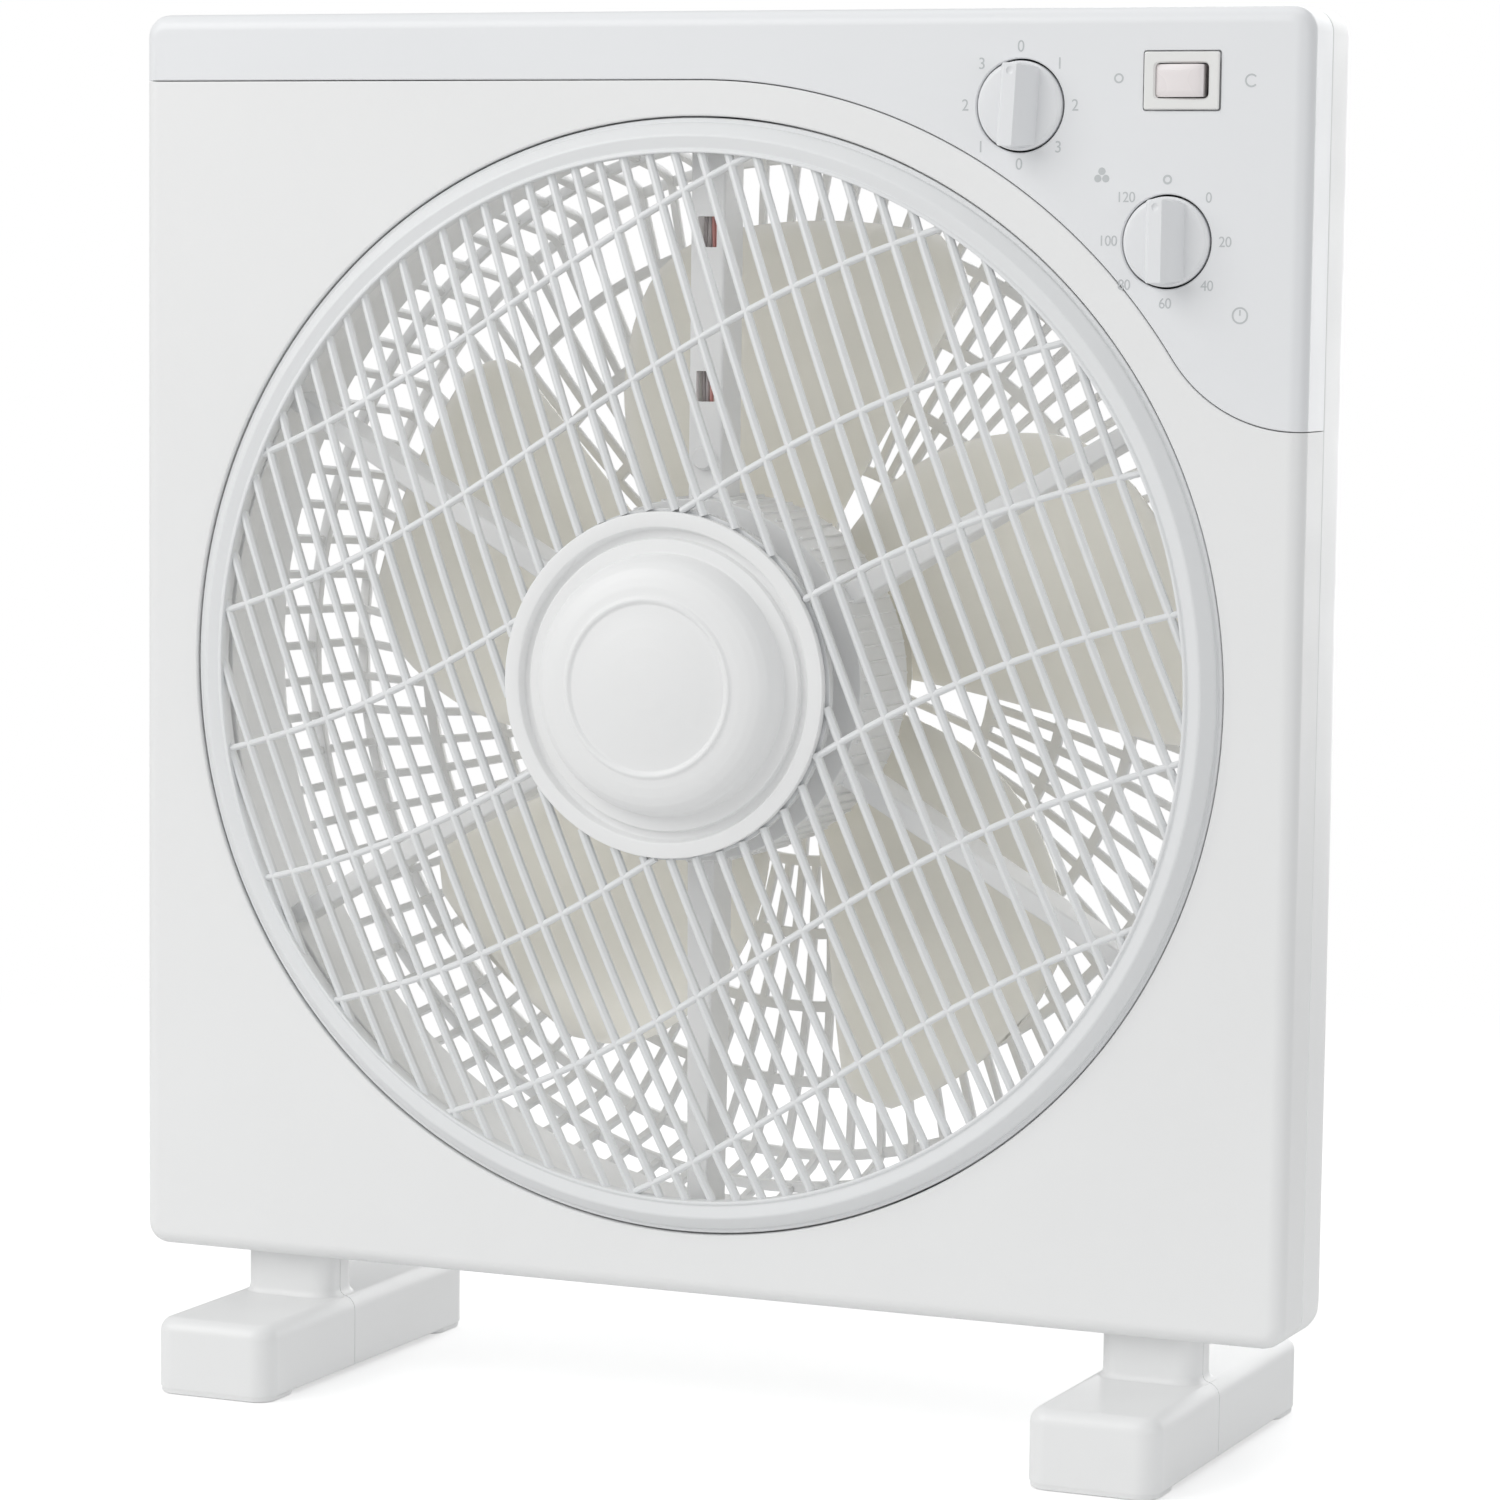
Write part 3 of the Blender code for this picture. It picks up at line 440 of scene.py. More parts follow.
def metal(name, color, roughness, stretch):
    """Plated or brushed metal: fine streaks in tone, gloss and height."""
    made, tree, shader, coords = new_material(name, roughness, 1.0)
    streaks = noise_node(tree, coords, 220.0, 5.0, stretch)
    tone = ramp_node(tree, streaks, (0.3, shade(color, 0.86)), (0.7, shade(color, 1.08)))
    gloss = range_node(tree, noise_node(tree, coords, 60.0), roughness - 0.06, roughness + 0.1)
    fill(tree, shader, {"Base Color": tone, "Roughness": gloss})
    bump_node(tree, shader, streaks, 0.00002)
    return made


def zinc(name, dark, light, roughness):
    """Zinc plate: crystals of slightly different grey."""
    made, tree, shader, coords = new_material(name, roughness, 1.0)
    cells = add_node(tree, "TexVoronoi", {"Scale": 260.0, "Vector": coords}).outputs
    gloss = range_node(tree, cells["Distance"], roughness - 0.08, roughness + 0.08, 0.0, 0.5)
    fill(tree, shader, {"Base Color": ramp_node(tree, cells["Color"], (0.0, dark), (1.0, light)),
                        "Roughness": gloss})
    bump_node(tree, shader, noise_node(tree, coords, 500.0), 0.00002)
    return made


def banded(name, dark, light, pitch, direction, roughness, metallic):
    """Thin parallel layers or turns: laminations along the axis, wire round it."""
    made, tree, shader, coords = new_material(name, roughness, metallic)
    wave = add_node(tree, "TexWave", {"Scale": 1 / (pitch * 20), "Distortion": 0.3, "Detail": 1.0,
                                      "Vector": coords})
    wave.wave_type = "BANDS"
    wave.bands_direction = direction
    bands = wave.outputs["Fac"]
    gloss = range_node(tree, noise_node(tree, coords, 90.0), roughness - 0.05, roughness + 0.1)
    fill(tree, shader, {"Base Color": ramp_node(tree, bands, (0.1, dark), (0.6, light)),
                        "Roughness": gloss})
    bump_node(tree, shader, bands, 0.00015, 0.6)
    return made


def rubber(name, color):
    """Rubber or soft sleeve: matt, cloudy, with a coarse grain."""
    made, tree, shader, coords = new_material(name, 0.7)
    clouds = noise_node(tree, coords, 70.0, 4.0)
    tone = ramp_node(tree, clouds, (0.3, shade(color, 0.85)), (0.7, shade(color, 1.1)))
    fill(tree, shader, {"Base Color": tone, "Roughness": range_node(tree, clouds, 0.6, 0.8)})
    bump_node(tree, shader, noise_node(tree, coords, 1400.0), 0.00006)
    return made


# colour, roughness, grain, and where they differ from the usual mottling and softness
PLASTICS = {
    "white_plastic": ((0.865, 0.868, 0.868), 0.4, 0.00002),
    # a lighter copy of the white plastic for the bracket deep in the duct: painted light, standing in for the
    # light the lamps bring too little of there
    "inner_plastic_painted_light": ((0.93, 0.932, 0.932), 0.42, 0.00002),
    "louver_plastic": ((0.81, 0.82, 0.828), 0.38, 0.000015),
    "rear_plastic": ((0.905, 0.908, 0.908), 0.4, 0.00002),
    "panel_plastic": ((0.84, 0.85, 0.865), 0.34, 0.000012),
    "switch_bezel": ((0.85, 0.85, 0.835), 0.3, 0.00001),
    "rocker_plastic": ((0.84, 0.79, 0.79), 0.28, 0.000006),
    "blade_plastic": ((0.885, 0.852, 0.75), 0.22, 0.00001, 0.02, 0.6),
    "switch_housing": ((0.03, 0.03, 0.034), 0.45, 0.00003, 0.15),
    "terminal_plastic": ((0.58, 0.55, 0.44), 0.45, 0.00002, 0.03),
    "ink": ((0.56, 0.58, 0.59), 0.5, 0.00001, 0.04),
}
materials = {name: plastic(name, *finish) for name, finish in PLASTICS.items()}
for name, make, *finish in (
        ("rubber", rubber, (0.42, 0.42, 0.42)),
        ("steel", metal, (0.62, 0.62, 0.64), 0.3, (1.0, 14.0, 1.0)),
        ("zinc_plate", zinc, (0.46, 0.47, 0.49), (0.66, 0.67, 0.69), 0.38),
        ("lamination", banded, (0.03, 0.03, 0.035), (0.16, 0.16, 0.17), 0.0005, "Y", 0.45, 0.7),
        ("winding", banded, (0.16, 0.035, 0.012), (0.55, 0.18, 0.06), 0.0007, "X", 0.35, 0.4),
        ("lead_sleeve", rubber, (0.62, 0.3, 0.28)),
        ("lead_grey", rubber, (0.5, 0.46, 0.46))):
    materials[name] = make(name, *finish)


# --- case ---
EDGE_CHAMFER = 0.0004  # at the shells' rims
KNOB_CHAMFER = 0.005  # spread of the cone round each knob hole
SWITCH_GAP = 0.0009
OPENING_ROUND = 0.0006
SCREW_COUNT = 4


def seam_line(shrink, left, right):
    """The control panel's lower edge from the left side to the right one, as (x, z)."""
    radius = PANEL_LINE + shrink
    turn_z = PANEL_RIGHT + PANEL_TURN
    turn_x = sqrt((PANEL_LINE + PANEL_TURN) ** 2 - turn_z ** 2)
    meet = degrees(atan2(turn_z, turn_x))
    small = PANEL_TURN - shrink
    end = 360 - degrees(acos(min((right - turn_x) / small, 0.0)))
    points = [(left, radius)] + arc(0, 0, radius, 90, meet, 44)
    points += arc(turn_x, turn_z, small, 180 + meet, end, 18)[1:]
    return points + [(max(right, points[-1][0]), points[-1][1])]


def whole_outline(inset, corner):
    return rounded(inset - HALF, HALF - inset, BOTTOM + inset, TOP - inset, corner)


def shell_corners(inset):
    """The upper and the lower half of the whole outline, whose corners never close up."""
    outline = whole_outline(inset, max(CORNER - inset, 0.0004))
    half = len(outline) // 2
    return outline[:half], outline[half:]


def front_outline(side, seam):
    """Front shell's outline, inset by side at the case's sides and by seam at the panel."""
    return shell_corners(side)[1] + seam_line(-seam, side - HALF, HALF - side)[::-1]


def panel_outline(side, seam):
    return seam_line(GAP + seam, side - HALF, HALF - side) + shell_corners(side)[0]


def parts_of(outline, step=1.6):
    """How many parts each edge needs so that none spans more than a step round the fan's axis."""
    counts = []
    for (x0, z0), (x1, z1) in zip(outline, outline[1:] + outline[:1]):
        sweep = atan2(z1, x1 - AXIS.x) - atan2(z0, x0 - AXIS.x)
        sweep = abs((sweep + pi) % (2 * pi) - pi)
        counts.append(max(1, ceil(degrees(sweep) / step)))
    return counts


def divided(outline, counts):
    points = []
    for (x0, z0), (x1, z1), count in zip(outline, outline[1:] + outline[:1], counts):
        for number in range(count):
            share = number / count
            points.append((x0 + (x1 - x0) * share, z0 + (z1 - z0) * share))
    return points


def level(outline, counts, depth):
    return raised(divided(outline, counts), depth)


def circle_like(outline, counts, radius, depth):
    """Circle about the fan's axis whose points face those of an outline."""
    points = []
    for x, z in divided(outline, counts):
        turn = atan2(z, x - AXIS.x)
        points.append((AXIS.x + radius * cos(turn), depth, radius * sin(turn)))
    return points


def edge_levels():
    """(side inset, seam inset, depth) down the round edges of the front shell and the panel."""
    levels = []
    for less, sine in quarter(0, 8, 16, 25, 36, 48, 60, 75, 90):
        short = max(SEAM_ROUND - FILLET * less, 0.0)
        levels.append((FILLET * (1 - sine), SEAM_ROUND - sqrt(SEAM_ROUND ** 2 - short ** 2),
                       FILLET * less))
    return levels


def shell_levels(outline, counts, rim):
    """Skin of a tray from its face round the rim to the inside of its face."""
    levels = edge_levels() + [
        (0.0, 0.0, rim - EDGE_CHAMFER), (EDGE_CHAMFER, EDGE_CHAMFER, rim), (WALL, WALL, rim),
        (WALL, WALL, WALL + 0.002), (WALL + 0.002, WALL, WALL)]
    return [level(outline(side, seam), counts, depth) for side, seam, depth in levels]


def make_front_shell():
    base = front_outline(0.0, 0.0)
    counts = parts_of(base)
    collar_end = FRONT_RIM - 0.0005
    collar = ((OPENING + WALL, WALL), (OPENING + WALL, collar_end), (OPENING, collar_end),
              (OPENING, OPENING_ROUND), (OPENING + 0.0002, 0.0002))
    loops = [circle_like(base, counts, OPENING + OPENING_ROUND, 0.0)]
    loops += shell_levels(front_outline, counts, FRONT_RIM)
    loops += [circle_like(base, counts, radius, depth) for radius, depth in collar]
    piece("front_case", stack(loops, cyclic=True), CASE, "case", ["front_shell"], 40, True)


def make_control_panel():
    counts = parts_of(panel_outline(0.0, 0.0), 4.0)
    panel = solid(stack(shell_levels(panel_outline, counts, FRONT_RIM)))
    for name in ("speed_turn", "timer_turn"):
        spot = joints[name] - CASE
        cut(panel, turned([(0, -0.005), (KNOB_HOLE + KNOB_CHAMFER, -0.005), (KNOB_HOLE, 0.0004),
                           (KNOB_HOLE, 0.01), (0, 0.01)], 64, *spot.xz))
    spot = joints["louver_switch_tip"] - CASE
    size = size_of("rocker_housing")
    for grown, corner, back in ((SWITCH_GAP, SWITCH_GAP, WALL - 0.0002), (-0.002, 0.0005, 0.01)):
        cut(panel, prism(box_outline(size.x + grown, size.z + grown, corner, *spot.xz), -0.01, back))
    piece("control_cover", panel, CASE, "case", ["control_panel"], 40, True, "panel_plastic")


def make_rear_shell():
    base = whole_outline(0.0, CORNER)
    counts = parts_of(base)

    def rounds(offset):
        """Levels of the round from the sides to the back."""
        radius = REAR_ROUND - offset
        return [level(whole_outline(offset + radius * less, CORNER - offset + 0.6 * radius * less),
                      counts, REAR_STRAIGHT + radius * sine)
                for less, sine in quarter(*range(0, 91, 9))]

    loops = [level(whole_outline(WALL, CORNER - WALL), counts, REAR_RIM),
             level(whole_outline(EDGE_CHAMFER, CORNER), counts, REAR_RIM),
             level(base, counts, REAR_RIM + EDGE_CHAMFER)] + rounds(0.0)
    profile = [(DUCT + DUCT_LIP * (1 - sine), BACK - DUCT_LIP * less)
               for less, sine in quarter(*range(0, 91, 15))]
    profile += [(DUCT, REAR_RIM + 0.0006), (DUCT + 0.0006, REAR_RIM), (DUCT + WALL, REAR_RIM),
                (DUCT + WALL, BACK - WALL - 0.0006), (DUCT + WALL + 0.0003, BACK - WALL)]
    loops += [circle_like(base, counts, radius, depth) for radius, depth in profile]
    shell = solid(stack(loops + rounds(WALL)[::-1], cyclic=True))
    spot = spot_of("cord_gland")
    cut(shell, pin(0.0063, BACK - 0.01, BACK + 0.01, 48, *spot.xz))
    for number in range(1, SCREW_COUNT + 1):
        spot = spot_of(f"case_screw_{number}")
        cut(shell, turned([(0, BACK - 0.0004), (0.0058, BACK - 0.0004), (0.0064, BACK + 0.0002),
                           (0, BACK + 0.0002)], 40, *spot.xz),
            pin(0.0023, BACK - 0.01, BACK + 0.01, 24, *spot.xz))
    piece("rear_case", shell, CASE, "case", ["rear_shell"], 40, True, tone="rear_plastic")


def make_case_screws():
    """Pan-head screws with a cross recess."""
    slot, slot_deep = oblong(-0.0022, 0.0022, -0.00035, 0.00035), 0.0012
    for number in range(1, SCREW_COUNT + 1):
        node = f"case_screw_{number}"
        tip, end = depths(node)
        face = BACK + 0.0001
        edge = face + 0.0007
        head = radius_of(node)
        spot = spot_of(node)
        profile = [(0, tip), (0.0006, tip + 0.0002), (0.0017, tip + 0.003), (0.0017, face),
                   (head, face)]
        profile += [(head * (1 - less), edge + (end - edge) * sine)
                    for less, sine in quarter(*range(0, 81, 10))]
        screw = solid(turned(profile + [(0.0, end)], 40, *spot.xz))
        for turn in (0, 90):
            cut(screw, spoke(radians(turn + 20 * number), slot, end - slot_deep, end + 0.002,
                             *spot.xz))
        piece(f"rear_screw_{number}", screw, CASE, "case", [node], 30, slot="steel")


def make_gland():
    """The inlet gland for the mains lead: a collar and a tapered, grooved sleeve."""
    bore, waist, collar = 0.0037, 0.006, 0.008
    tip, end = depths("cord_gland")
    spot = spot_of("cord_gland")
    inside, outside = BACK - WALL - GAP, BACK + GAP
    start = outside + 0.0033
    profile = [(bore, tip), (collar, tip), (collar, inside), (waist, inside), (waist, outside),
               (collar, outside), (collar, outside + 0.002), (0.0074, outside + 0.003)]
    ribs = 5
    for number in range(ribs):
        for share, groove in ((0.0, 0.0), (0.55, 0.0), (0.62, 0.0011), (0.93, 0.0011)):
            along = (number + share) / ribs
            profile.append((0.007 - 0.0016 * along - groove, start + (end - start) * along))
    profile += [(0.0053, end), (bore, end)]
    piece("cord_inlet_gland", turned(profile, 40, *spot.xz), CASE, "case", ["cord_gland"], 30,
          slot="rubber")


# --- feet ---
FOOT_HEIGHT = 0.024
FOOT_ROUND = 0.0045
FOOT_CORNER = 0.007
NECK = (0.011, 0.031)  # front and back of the neck
NECK_HALF = 0.015
NECK_CORNER = 0.006
NECK_FLARE = 0.0024
SOLE_LENGTH = 0.022


def laid(outline, height):
    return [(x, depth, height) for x, depth in outline]


def foot_stack(x, near, far, half, corner, levels):
    """Solid through levels (inset, height) of a rounded outline in plan."""
    return stack([laid(rounded(x - half + inset, x + half - inset, near + inset, far - inset,
                               max(corner - inset, 0.0006)), height) for inset, height in levels])


def make_feet():
    """Each foot is split along the shells' seam: base on a low sole, and half of the neck."""
    floor = -AXIS.z
    top = floor + FOOT_HEIGHT
    base_levels = [(0.0004, floor + 0.0016), (0.0, floor + 0.0022)]
    base_levels += [(FOOT_ROUND * less, top - FOOT_ROUND * (1 - sine))
                    for less, sine in quarter(*range(0, 91, 15))]
    neck_levels = [(-NECK_FLARE, top - 0.003)]
    neck_levels += [(-NECK_FLARE * (1 - sine), top - 0.0002 + NECK_FLARE * less)
                    for less, sine in quarter(0, 20, 40, 60, 90)] + [(0.0, BOTTOM - GAP)]
    sole_levels = ((0.0012, floor), (0.0006, floor + 0.0003), (0.0004, floor + 0.0008),
                   (0.0004, floor + 0.004))
    for side in ("left", "right"):
        front_node, rear_node = f"foot_front_{side}", f"foot_rear_{side}"
        x, half = spot_of(front_node).x, size_of(front_node).x / 2
        near, front_seam = depths(front_node)
        rear_seam, far = depths(rear_node)
        for end, node, start, stop, low, high in (
                ("front", front_node, near, near + SOLE_LENGTH, front_seam, 0.2),
                ("rear", rear_node, far - SOLE_LENGTH, far, -0.2, rear_seam)):
            foot = solid(foot_stack(x, near, far, half, FOOT_CORNER, base_levels))
            join(foot, foot_stack(x, *NECK, NECK_HALF, NECK_CORNER, neck_levels),
                 foot_stack(x, start, stop, half, FOOT_CORNER, sole_levels))
            far_side = oblong(x - 0.04, x + 0.04, low, high)
            cut(foot, stack([laid(far_side, floor - 0.01), laid(far_side, BOTTOM + 0.01)]))
            piece(f"{end}_foot_{side}", foot, CASE, "case", [node], 40, True)


# --- louver ---
ROD_STEP = 0.004  # longest straight stretch of a slat or bar
ROD_GRAIN = 0.0002  # fineness with which the rods' ends are found
RING_END = (0.1641, 0.0088)  # inner radius and depth of the ring's skirt
RING_FLANGE = (0.0022, 0.0011, 0.0025)  # reach, front and back of the flange in the gap


def dome(radius):
    """Depth of the front of the slats at a distance from the axis."""
    reach = min(max((radius - CAP) / (RING_INNER - CAP), 0.0), 1.0)
    return DOME_MIDDLE + (DOME_EDGE - DOME_MIDDLE) * reach ** DOME_POWER


def louver_rods(tilt, pitch, phase, section, along_axis, sway=(0.0, 1.0)):
    """Parallel domed rods from the ring to the ring or to the hub, swung sideways by a sine."""
    direction = (cos(tilt), sin(tilt))
    normal = (-direction[1], direction[0])
    across, along = (direction, normal) if along_axis else (normal, direction)
    outer = RING_INNER + 0.002
    inner = CAP + GAP
    reach = round(outer / ROD_GRAIN)
    count = int(outer / pitch) + 1
    parts = []
    for number in range(-count, count + 1):
        offset = (number + phase) * pitch
        if abs(offset) > RING_INNER - 0.0005:
            continue
        runs = [[]]
        for k in range(-reach, reach + 1):
            far = k * ROD_GRAIN
            side = offset + sway[0] * sin(pi * far / sway[1])
            x = side * across[0] + far * along[0]
            z = side * across[1] + far * along[1]
            if inner <= hypot(x, z) <= outer:
                runs[-1].append((x, dome(hypot(x, z)), z))
            elif runs[-1]:
                runs.append([])
        for run in runs:
            if len(run) < 10:
                continue
            steps = max(2, ceil(len(run) * ROD_GRAIN / ROD_STEP))
            stations = [run[round(k * (len(run) - 1) / steps)] for k in range(steps + 1)]
            parts.append(rod(stations, section, across))
    return merge(*parts)


def make_louver():
    skirt, skirt_back = RING_END
    flange, flange_front, flange_back = RING_FLANGE
    edge = RING_OUTER + 0.0007
    ring = soften([(RING_INNER, -0.0043), (RING_INNER + 0.0009, -0.0043),
                   (RING_INNER + 0.0013, -0.0036), (RING_OUTER - 0.0034, -0.0043),
                   (RING_OUTER - 0.0028, -0.0041), (edge, -0.0002), (edge, flange_front),
                   (RING_OUTER + flange, flange_front), (RING_OUTER + flange, flange_back),
                   (edge, flange_back), (edge, skirt_back), (skirt, skirt_back), (skirt, 0.001),
                   (RING_INNER, 0.001)], 0.0005)
    grille = solid(turned(ring, 240))
    plate, plate_front, plate_back = HUB_PLATE
    hub = soften([(0.0, plate_front), (plate, plate_front), (plate, plate_back),
                  (0.011, plate_back), (0.011, -0.008), (0.0031, -0.008),
                  (0.0031, -0.013), (0.0, -0.013)], 0.0002, 2, False)
    join(grille, turned(hub, 144),
         louver_rods(SLAT_TILT, SLAT_PITCH, SLAT_PHASE, SLAT_SECTION, True),
         louver_rods(BAR_TILT, BAR_PITCH, BAR_PHASE, BAR_SECTION, False, BAR_SWAY))
    piece("louver_moulding", grille, AXIS, "louver", ["louver_grille"], 28, True,
          tone="louver_plastic")


def make_louver_cap():
    """Middle cap, from its raised disc over the dome, ledge and groove to the rim."""
    back = depths("louver_cap")[1]
    front = CAP_RIM - 0.0113
    profile = behind(front, (0.0, -0.0018), (0.006, -0.0017), (0.012, -0.0012), (0.018, -0.0004),
                     (0.025, 0.0009), (0.0257, 0.0002), (0.0266, 0.0001), (0.0273, 0.0008),
                     (0.03, 0.0011), (0.033, 0.0019), (0.0355, 0.0031), (0.0374, 0.0049),
                     (0.0386, 0.0073), (0.0392, 0.01))
    profile += behind(CAP_RIM, (0.0395, 0.0008), (0.0438, 0.0008), (0.0441, 0.003), (0.0466, 0.003),
                      (0.0473, 0.0), (CAP, 0.0))
    profile += [(CAP, back), (CAP - 0.0018, back)]
    profile += behind(CAP_RIM, (CAP - 0.0018, 0.002), (0.0486, 0.0022), (0.0474, 0.0038),
                      (0.043, 0.0038), (0.0424, 0.0022), (0.0382, 0.0022))
    profile += behind(front, (0.037, 0.0084), (0.034, 0.005), (0.026, 0.003), (0.0, 0.0024))
    piece("louver_centre_cap", turned(soften(profile, 0.0005, 3, False), 144), AXIS, "louver",
          ["louver_cap"], 30)


# --- bracket and leads ---
CUP = 0.055  # outer radius of the cup that holds both motors
CUP_WALL = CUP - 0.0022
CUP_FLOOR = (0.0093, 0.0119)
CUP_BORE = 0.01
CUP_RIBS = 72
COVER_HOLE = radius_of("louver_motor") + 0.004
ARM_COUNT = 6
ARM_DEPTH = (0.0105, 0.0245)
TOP_ARM = (0.0056, 0.0056)  # half widths at the cup and at the rim
SIDE_ARM = (0.0034, 0.0028)
BOTTOM_ARM = (0.0046, 0.0034)
ARM_WALL = 0.0018
BRACKET_RIM = (0.1625, 0.1688)
WINDOWS = (0.135, 0.0886)  # heights of the top arm's wire windows
WINDOW_SIZE = (0.0062, 0.0092)
BOSS_HEIGHT = 0.067
WIRE = 0.0006
WIRE_STEPS = 59


def make_bracket():
    """Ring, six channel arms and the deep cup that holds both motors."""
    front, back = depths("motor_bracket")
    arm_front, arm_back = ARM_DEPTH
    floor_front, floor_back = CUP_FLOOR
    cup = soften([(CUP_BORE, floor_front), (CUP_WALL, floor_front), (CUP_WALL, front + 0.0018),
                  (COVER_HOLE, front + 0.0018), (COVER_HOLE, front), (CUP, front), (CUP, back),
                  (CUP_WALL, back), (CUP_WALL, floor_back), (CUP_BORE, floor_back)], 0.0006)
    bracket = solid(turned(cup, 144))
    rib = ((CUP - 0.0006, -0.0006), (CUP + 0.0007, -0.0003), (CUP + 0.0007, 0.0003),
           (CUP - 0.0006, 0.0006))
    ribs = [spoke(2 * pi * (number + 0.5) / CUP_RIBS, rib, 0.0062, back - 0.0016)
            for number in range(CUP_RIBS)]
    join(bracket, merge(*ribs), band(*BRACKET_RIM, arm_front + 0.0005, 0.019, 0.0006, 240))
    arms, grooves = [], []
    halves = (TOP_ARM, SIDE_ARM, SIDE_ARM, BOTTOM_ARM, SIDE_ARM, SIDE_ARM)
    for number, (near, far) in enumerate(halves):
        turn = radians(90 + 360 / ARM_COUNT * number)
        ends = []
        for along, half in ((CUP_WALL + 0.0005, near), (0.1632, far)):
            end = []
            for across, depth in soften([(-half, arm_back), (-half, arm_front), (half, arm_front),
                                         (half, arm_back)], 0.0012, 3, False):
                x, z = at_angle(turn, along, across)
                end.append((x, depth, z))
            ends.append(end)
        arms.append(stack(ends))
        near, far = near - ARM_WALL, far - ARM_WALL
        groove = ((CUP + 0.004, -near), (0.159, -far), (0.159, far), (CUP + 0.004, near))
        grooves.append(spoke(turn, groove, arm_front + 0.002, 0.03))
    join(bracket, merge(*arms))
    cut(bracket, merge(*grooves), *[prism(box_outline(*WINDOW_SIZE, 0.0003, 0.0, height), 0.0, 0.03)
                                    for height in WINDOWS])
    boss = behind(arm_front, (0.0, -0.0022), (0.003, -0.0022), (0.0036, -0.0016), (0.0038, 0.001),
                  (0.0, 0.001))
    join(bracket, turned(boss, 32, 0.0, BOSS_HEIGHT))
    # the bracket wears the lighter copy of the white plastic: painted light for the dim inside of the duct
    piece("bracket_moulding", bracket, AXIS, "case", ["motor_bracket"], 30, True,
          tone="inner_plastic_painted_light")


def make_leads():
    """Four single wires side by side in the top arm's groove."""
    low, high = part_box("motor_leads")
    bottom, top = low.z - AXIS.z, high.z - AXIS.z
    depth = (low.y + high.y) / 2 - FACE - 0.0002
    wires = (("lead_sleeve", (0.0007, 0.0021), ["motor_leads"]),
             ("lead_grey", (-0.0021, -0.0007), []))
    for number, (tone, spots, nodes) in enumerate(wires, 1):
        parts = []
        for spot in spots:
            points = []
            for step in range(WIRE_STEPS + 1):
                share = step / WIRE_STEPS
                points.append((spot + 0.0002 * sin(19 * share + 900 * spot),
                               depth + 0.0003 * sin(13 * share + 700 * spot),
                               bottom + (top - bottom) * share))
            parts.append(tube(points, WIRE, 12))
        piece(f"motor_wires_{number}", merge(*parts), AXIS, "case", nodes, 60,
              slot="lead_sleeve", tone=tone)


# --- fan blade ---
BLADES = 5
BLADE_HUB = 0.046
BLADE_TIP = 0.14
BLADE_DEPTH = (0.055, 0.0765)
BLADE_SKIN = 0.0011  # half of a blade's thickness
BLADE_GRID = (26, 24)
TIP_START = 0.84  # share of the reach where the corners begin to round
HUB_BACK = 0.072
HUB_RIBS = 10
NUT_GRIPS = 18


def blade_point(reach, across, base):
    """Point of a blade's middle surface: reach 0 to 1 from hub to tip, across -1 to 1."""
    tip = max(reach - TIP_START, 0.0) / (1 - TIP_START)
    high = 39.5 - 26.3 * reach ** 1.8 - 5 * tip ** 3
    low = -21.5 - 5.0 * sin(pi * min(reach, 0.9) / 1.8) + 6.0 * tip ** 3
    angle = base + radians((high + low) / 2 + (high - low) / 2 * across)
    front, back = BLADE_DEPTH
    depth = ((front + back) / 2 - (back - front) / 2 * across * (0.62 + 0.3 * reach)
             + 0.002 * (1 - across ** 2))
    root = BLADE_HUB - 0.0012
    radius = root + (BLADE_TIP - 0.004 * across - root) * reach
    return radius * cos(angle), depth, radius * sin(angle)


def blade_solid(base):
    """Thin curved blade with a rounded edge, as an upper and a lower skin."""
    rows, columns = BLADE_GRID
    loops = []
    for i in range(rows + 1):
        reach = i / rows
        upper, lower = [], []
        for j in range(columns + 1):
            across = -1 + 2 * j / columns
            x, depth, z = blade_point(reach, across, base)
            near_edge = min(1 - abs(across), (1 - reach) * 2.0)
            thick = BLADE_SKIN * (0.35 + 0.65 * min(near_edge / 0.08, 1.0) ** 0.5)
            upper.append((x, depth - thick, z))
            lower.append((x, depth + thick, z))
        loops.append(upper + lower[::-1])
    return stack(loops)


def make_blade():
    front = depths("motor_stator")[1] + 0.0041
    bore, sleeve, inside = 0.0044, 0.01, BLADE_HUB - 0.0025
    hub = behind(HUB_BACK, (bore, -0.014), (sleeve, -0.014), (sleeve, -0.0025), (inside, -0.0025))
    hub += [(inside, front), (BLADE_HUB, front)]
    hub += behind(HUB_BACK, (BLADE_HUB, -0.004), (BLADE_HUB - 0.004, 0.0), (sleeve, 0.0),
                  (sleeve, 0.006), (bore, 0.006))
    blade = solid(turned(soften(hub, 0.0008), 120))
    rib = oblong(sleeve - 0.0005, BLADE_HUB - 0.002, -0.0008, 0.0008)
    join(blade, *[spoke(2 * pi * (number + 0.5) / HUB_RIBS, rib, HUB_BACK - 0.0095,
                        HUB_BACK - 0.002) for number in range(HUB_RIBS)])
    join(blade, *[blade_solid(radians(90 + 360 / BLADES * number)) for number in range(BLADES)])
    piece("fan_impeller", blade, AXIS, "fan", ["fan_blade"], slot="blade_plastic")


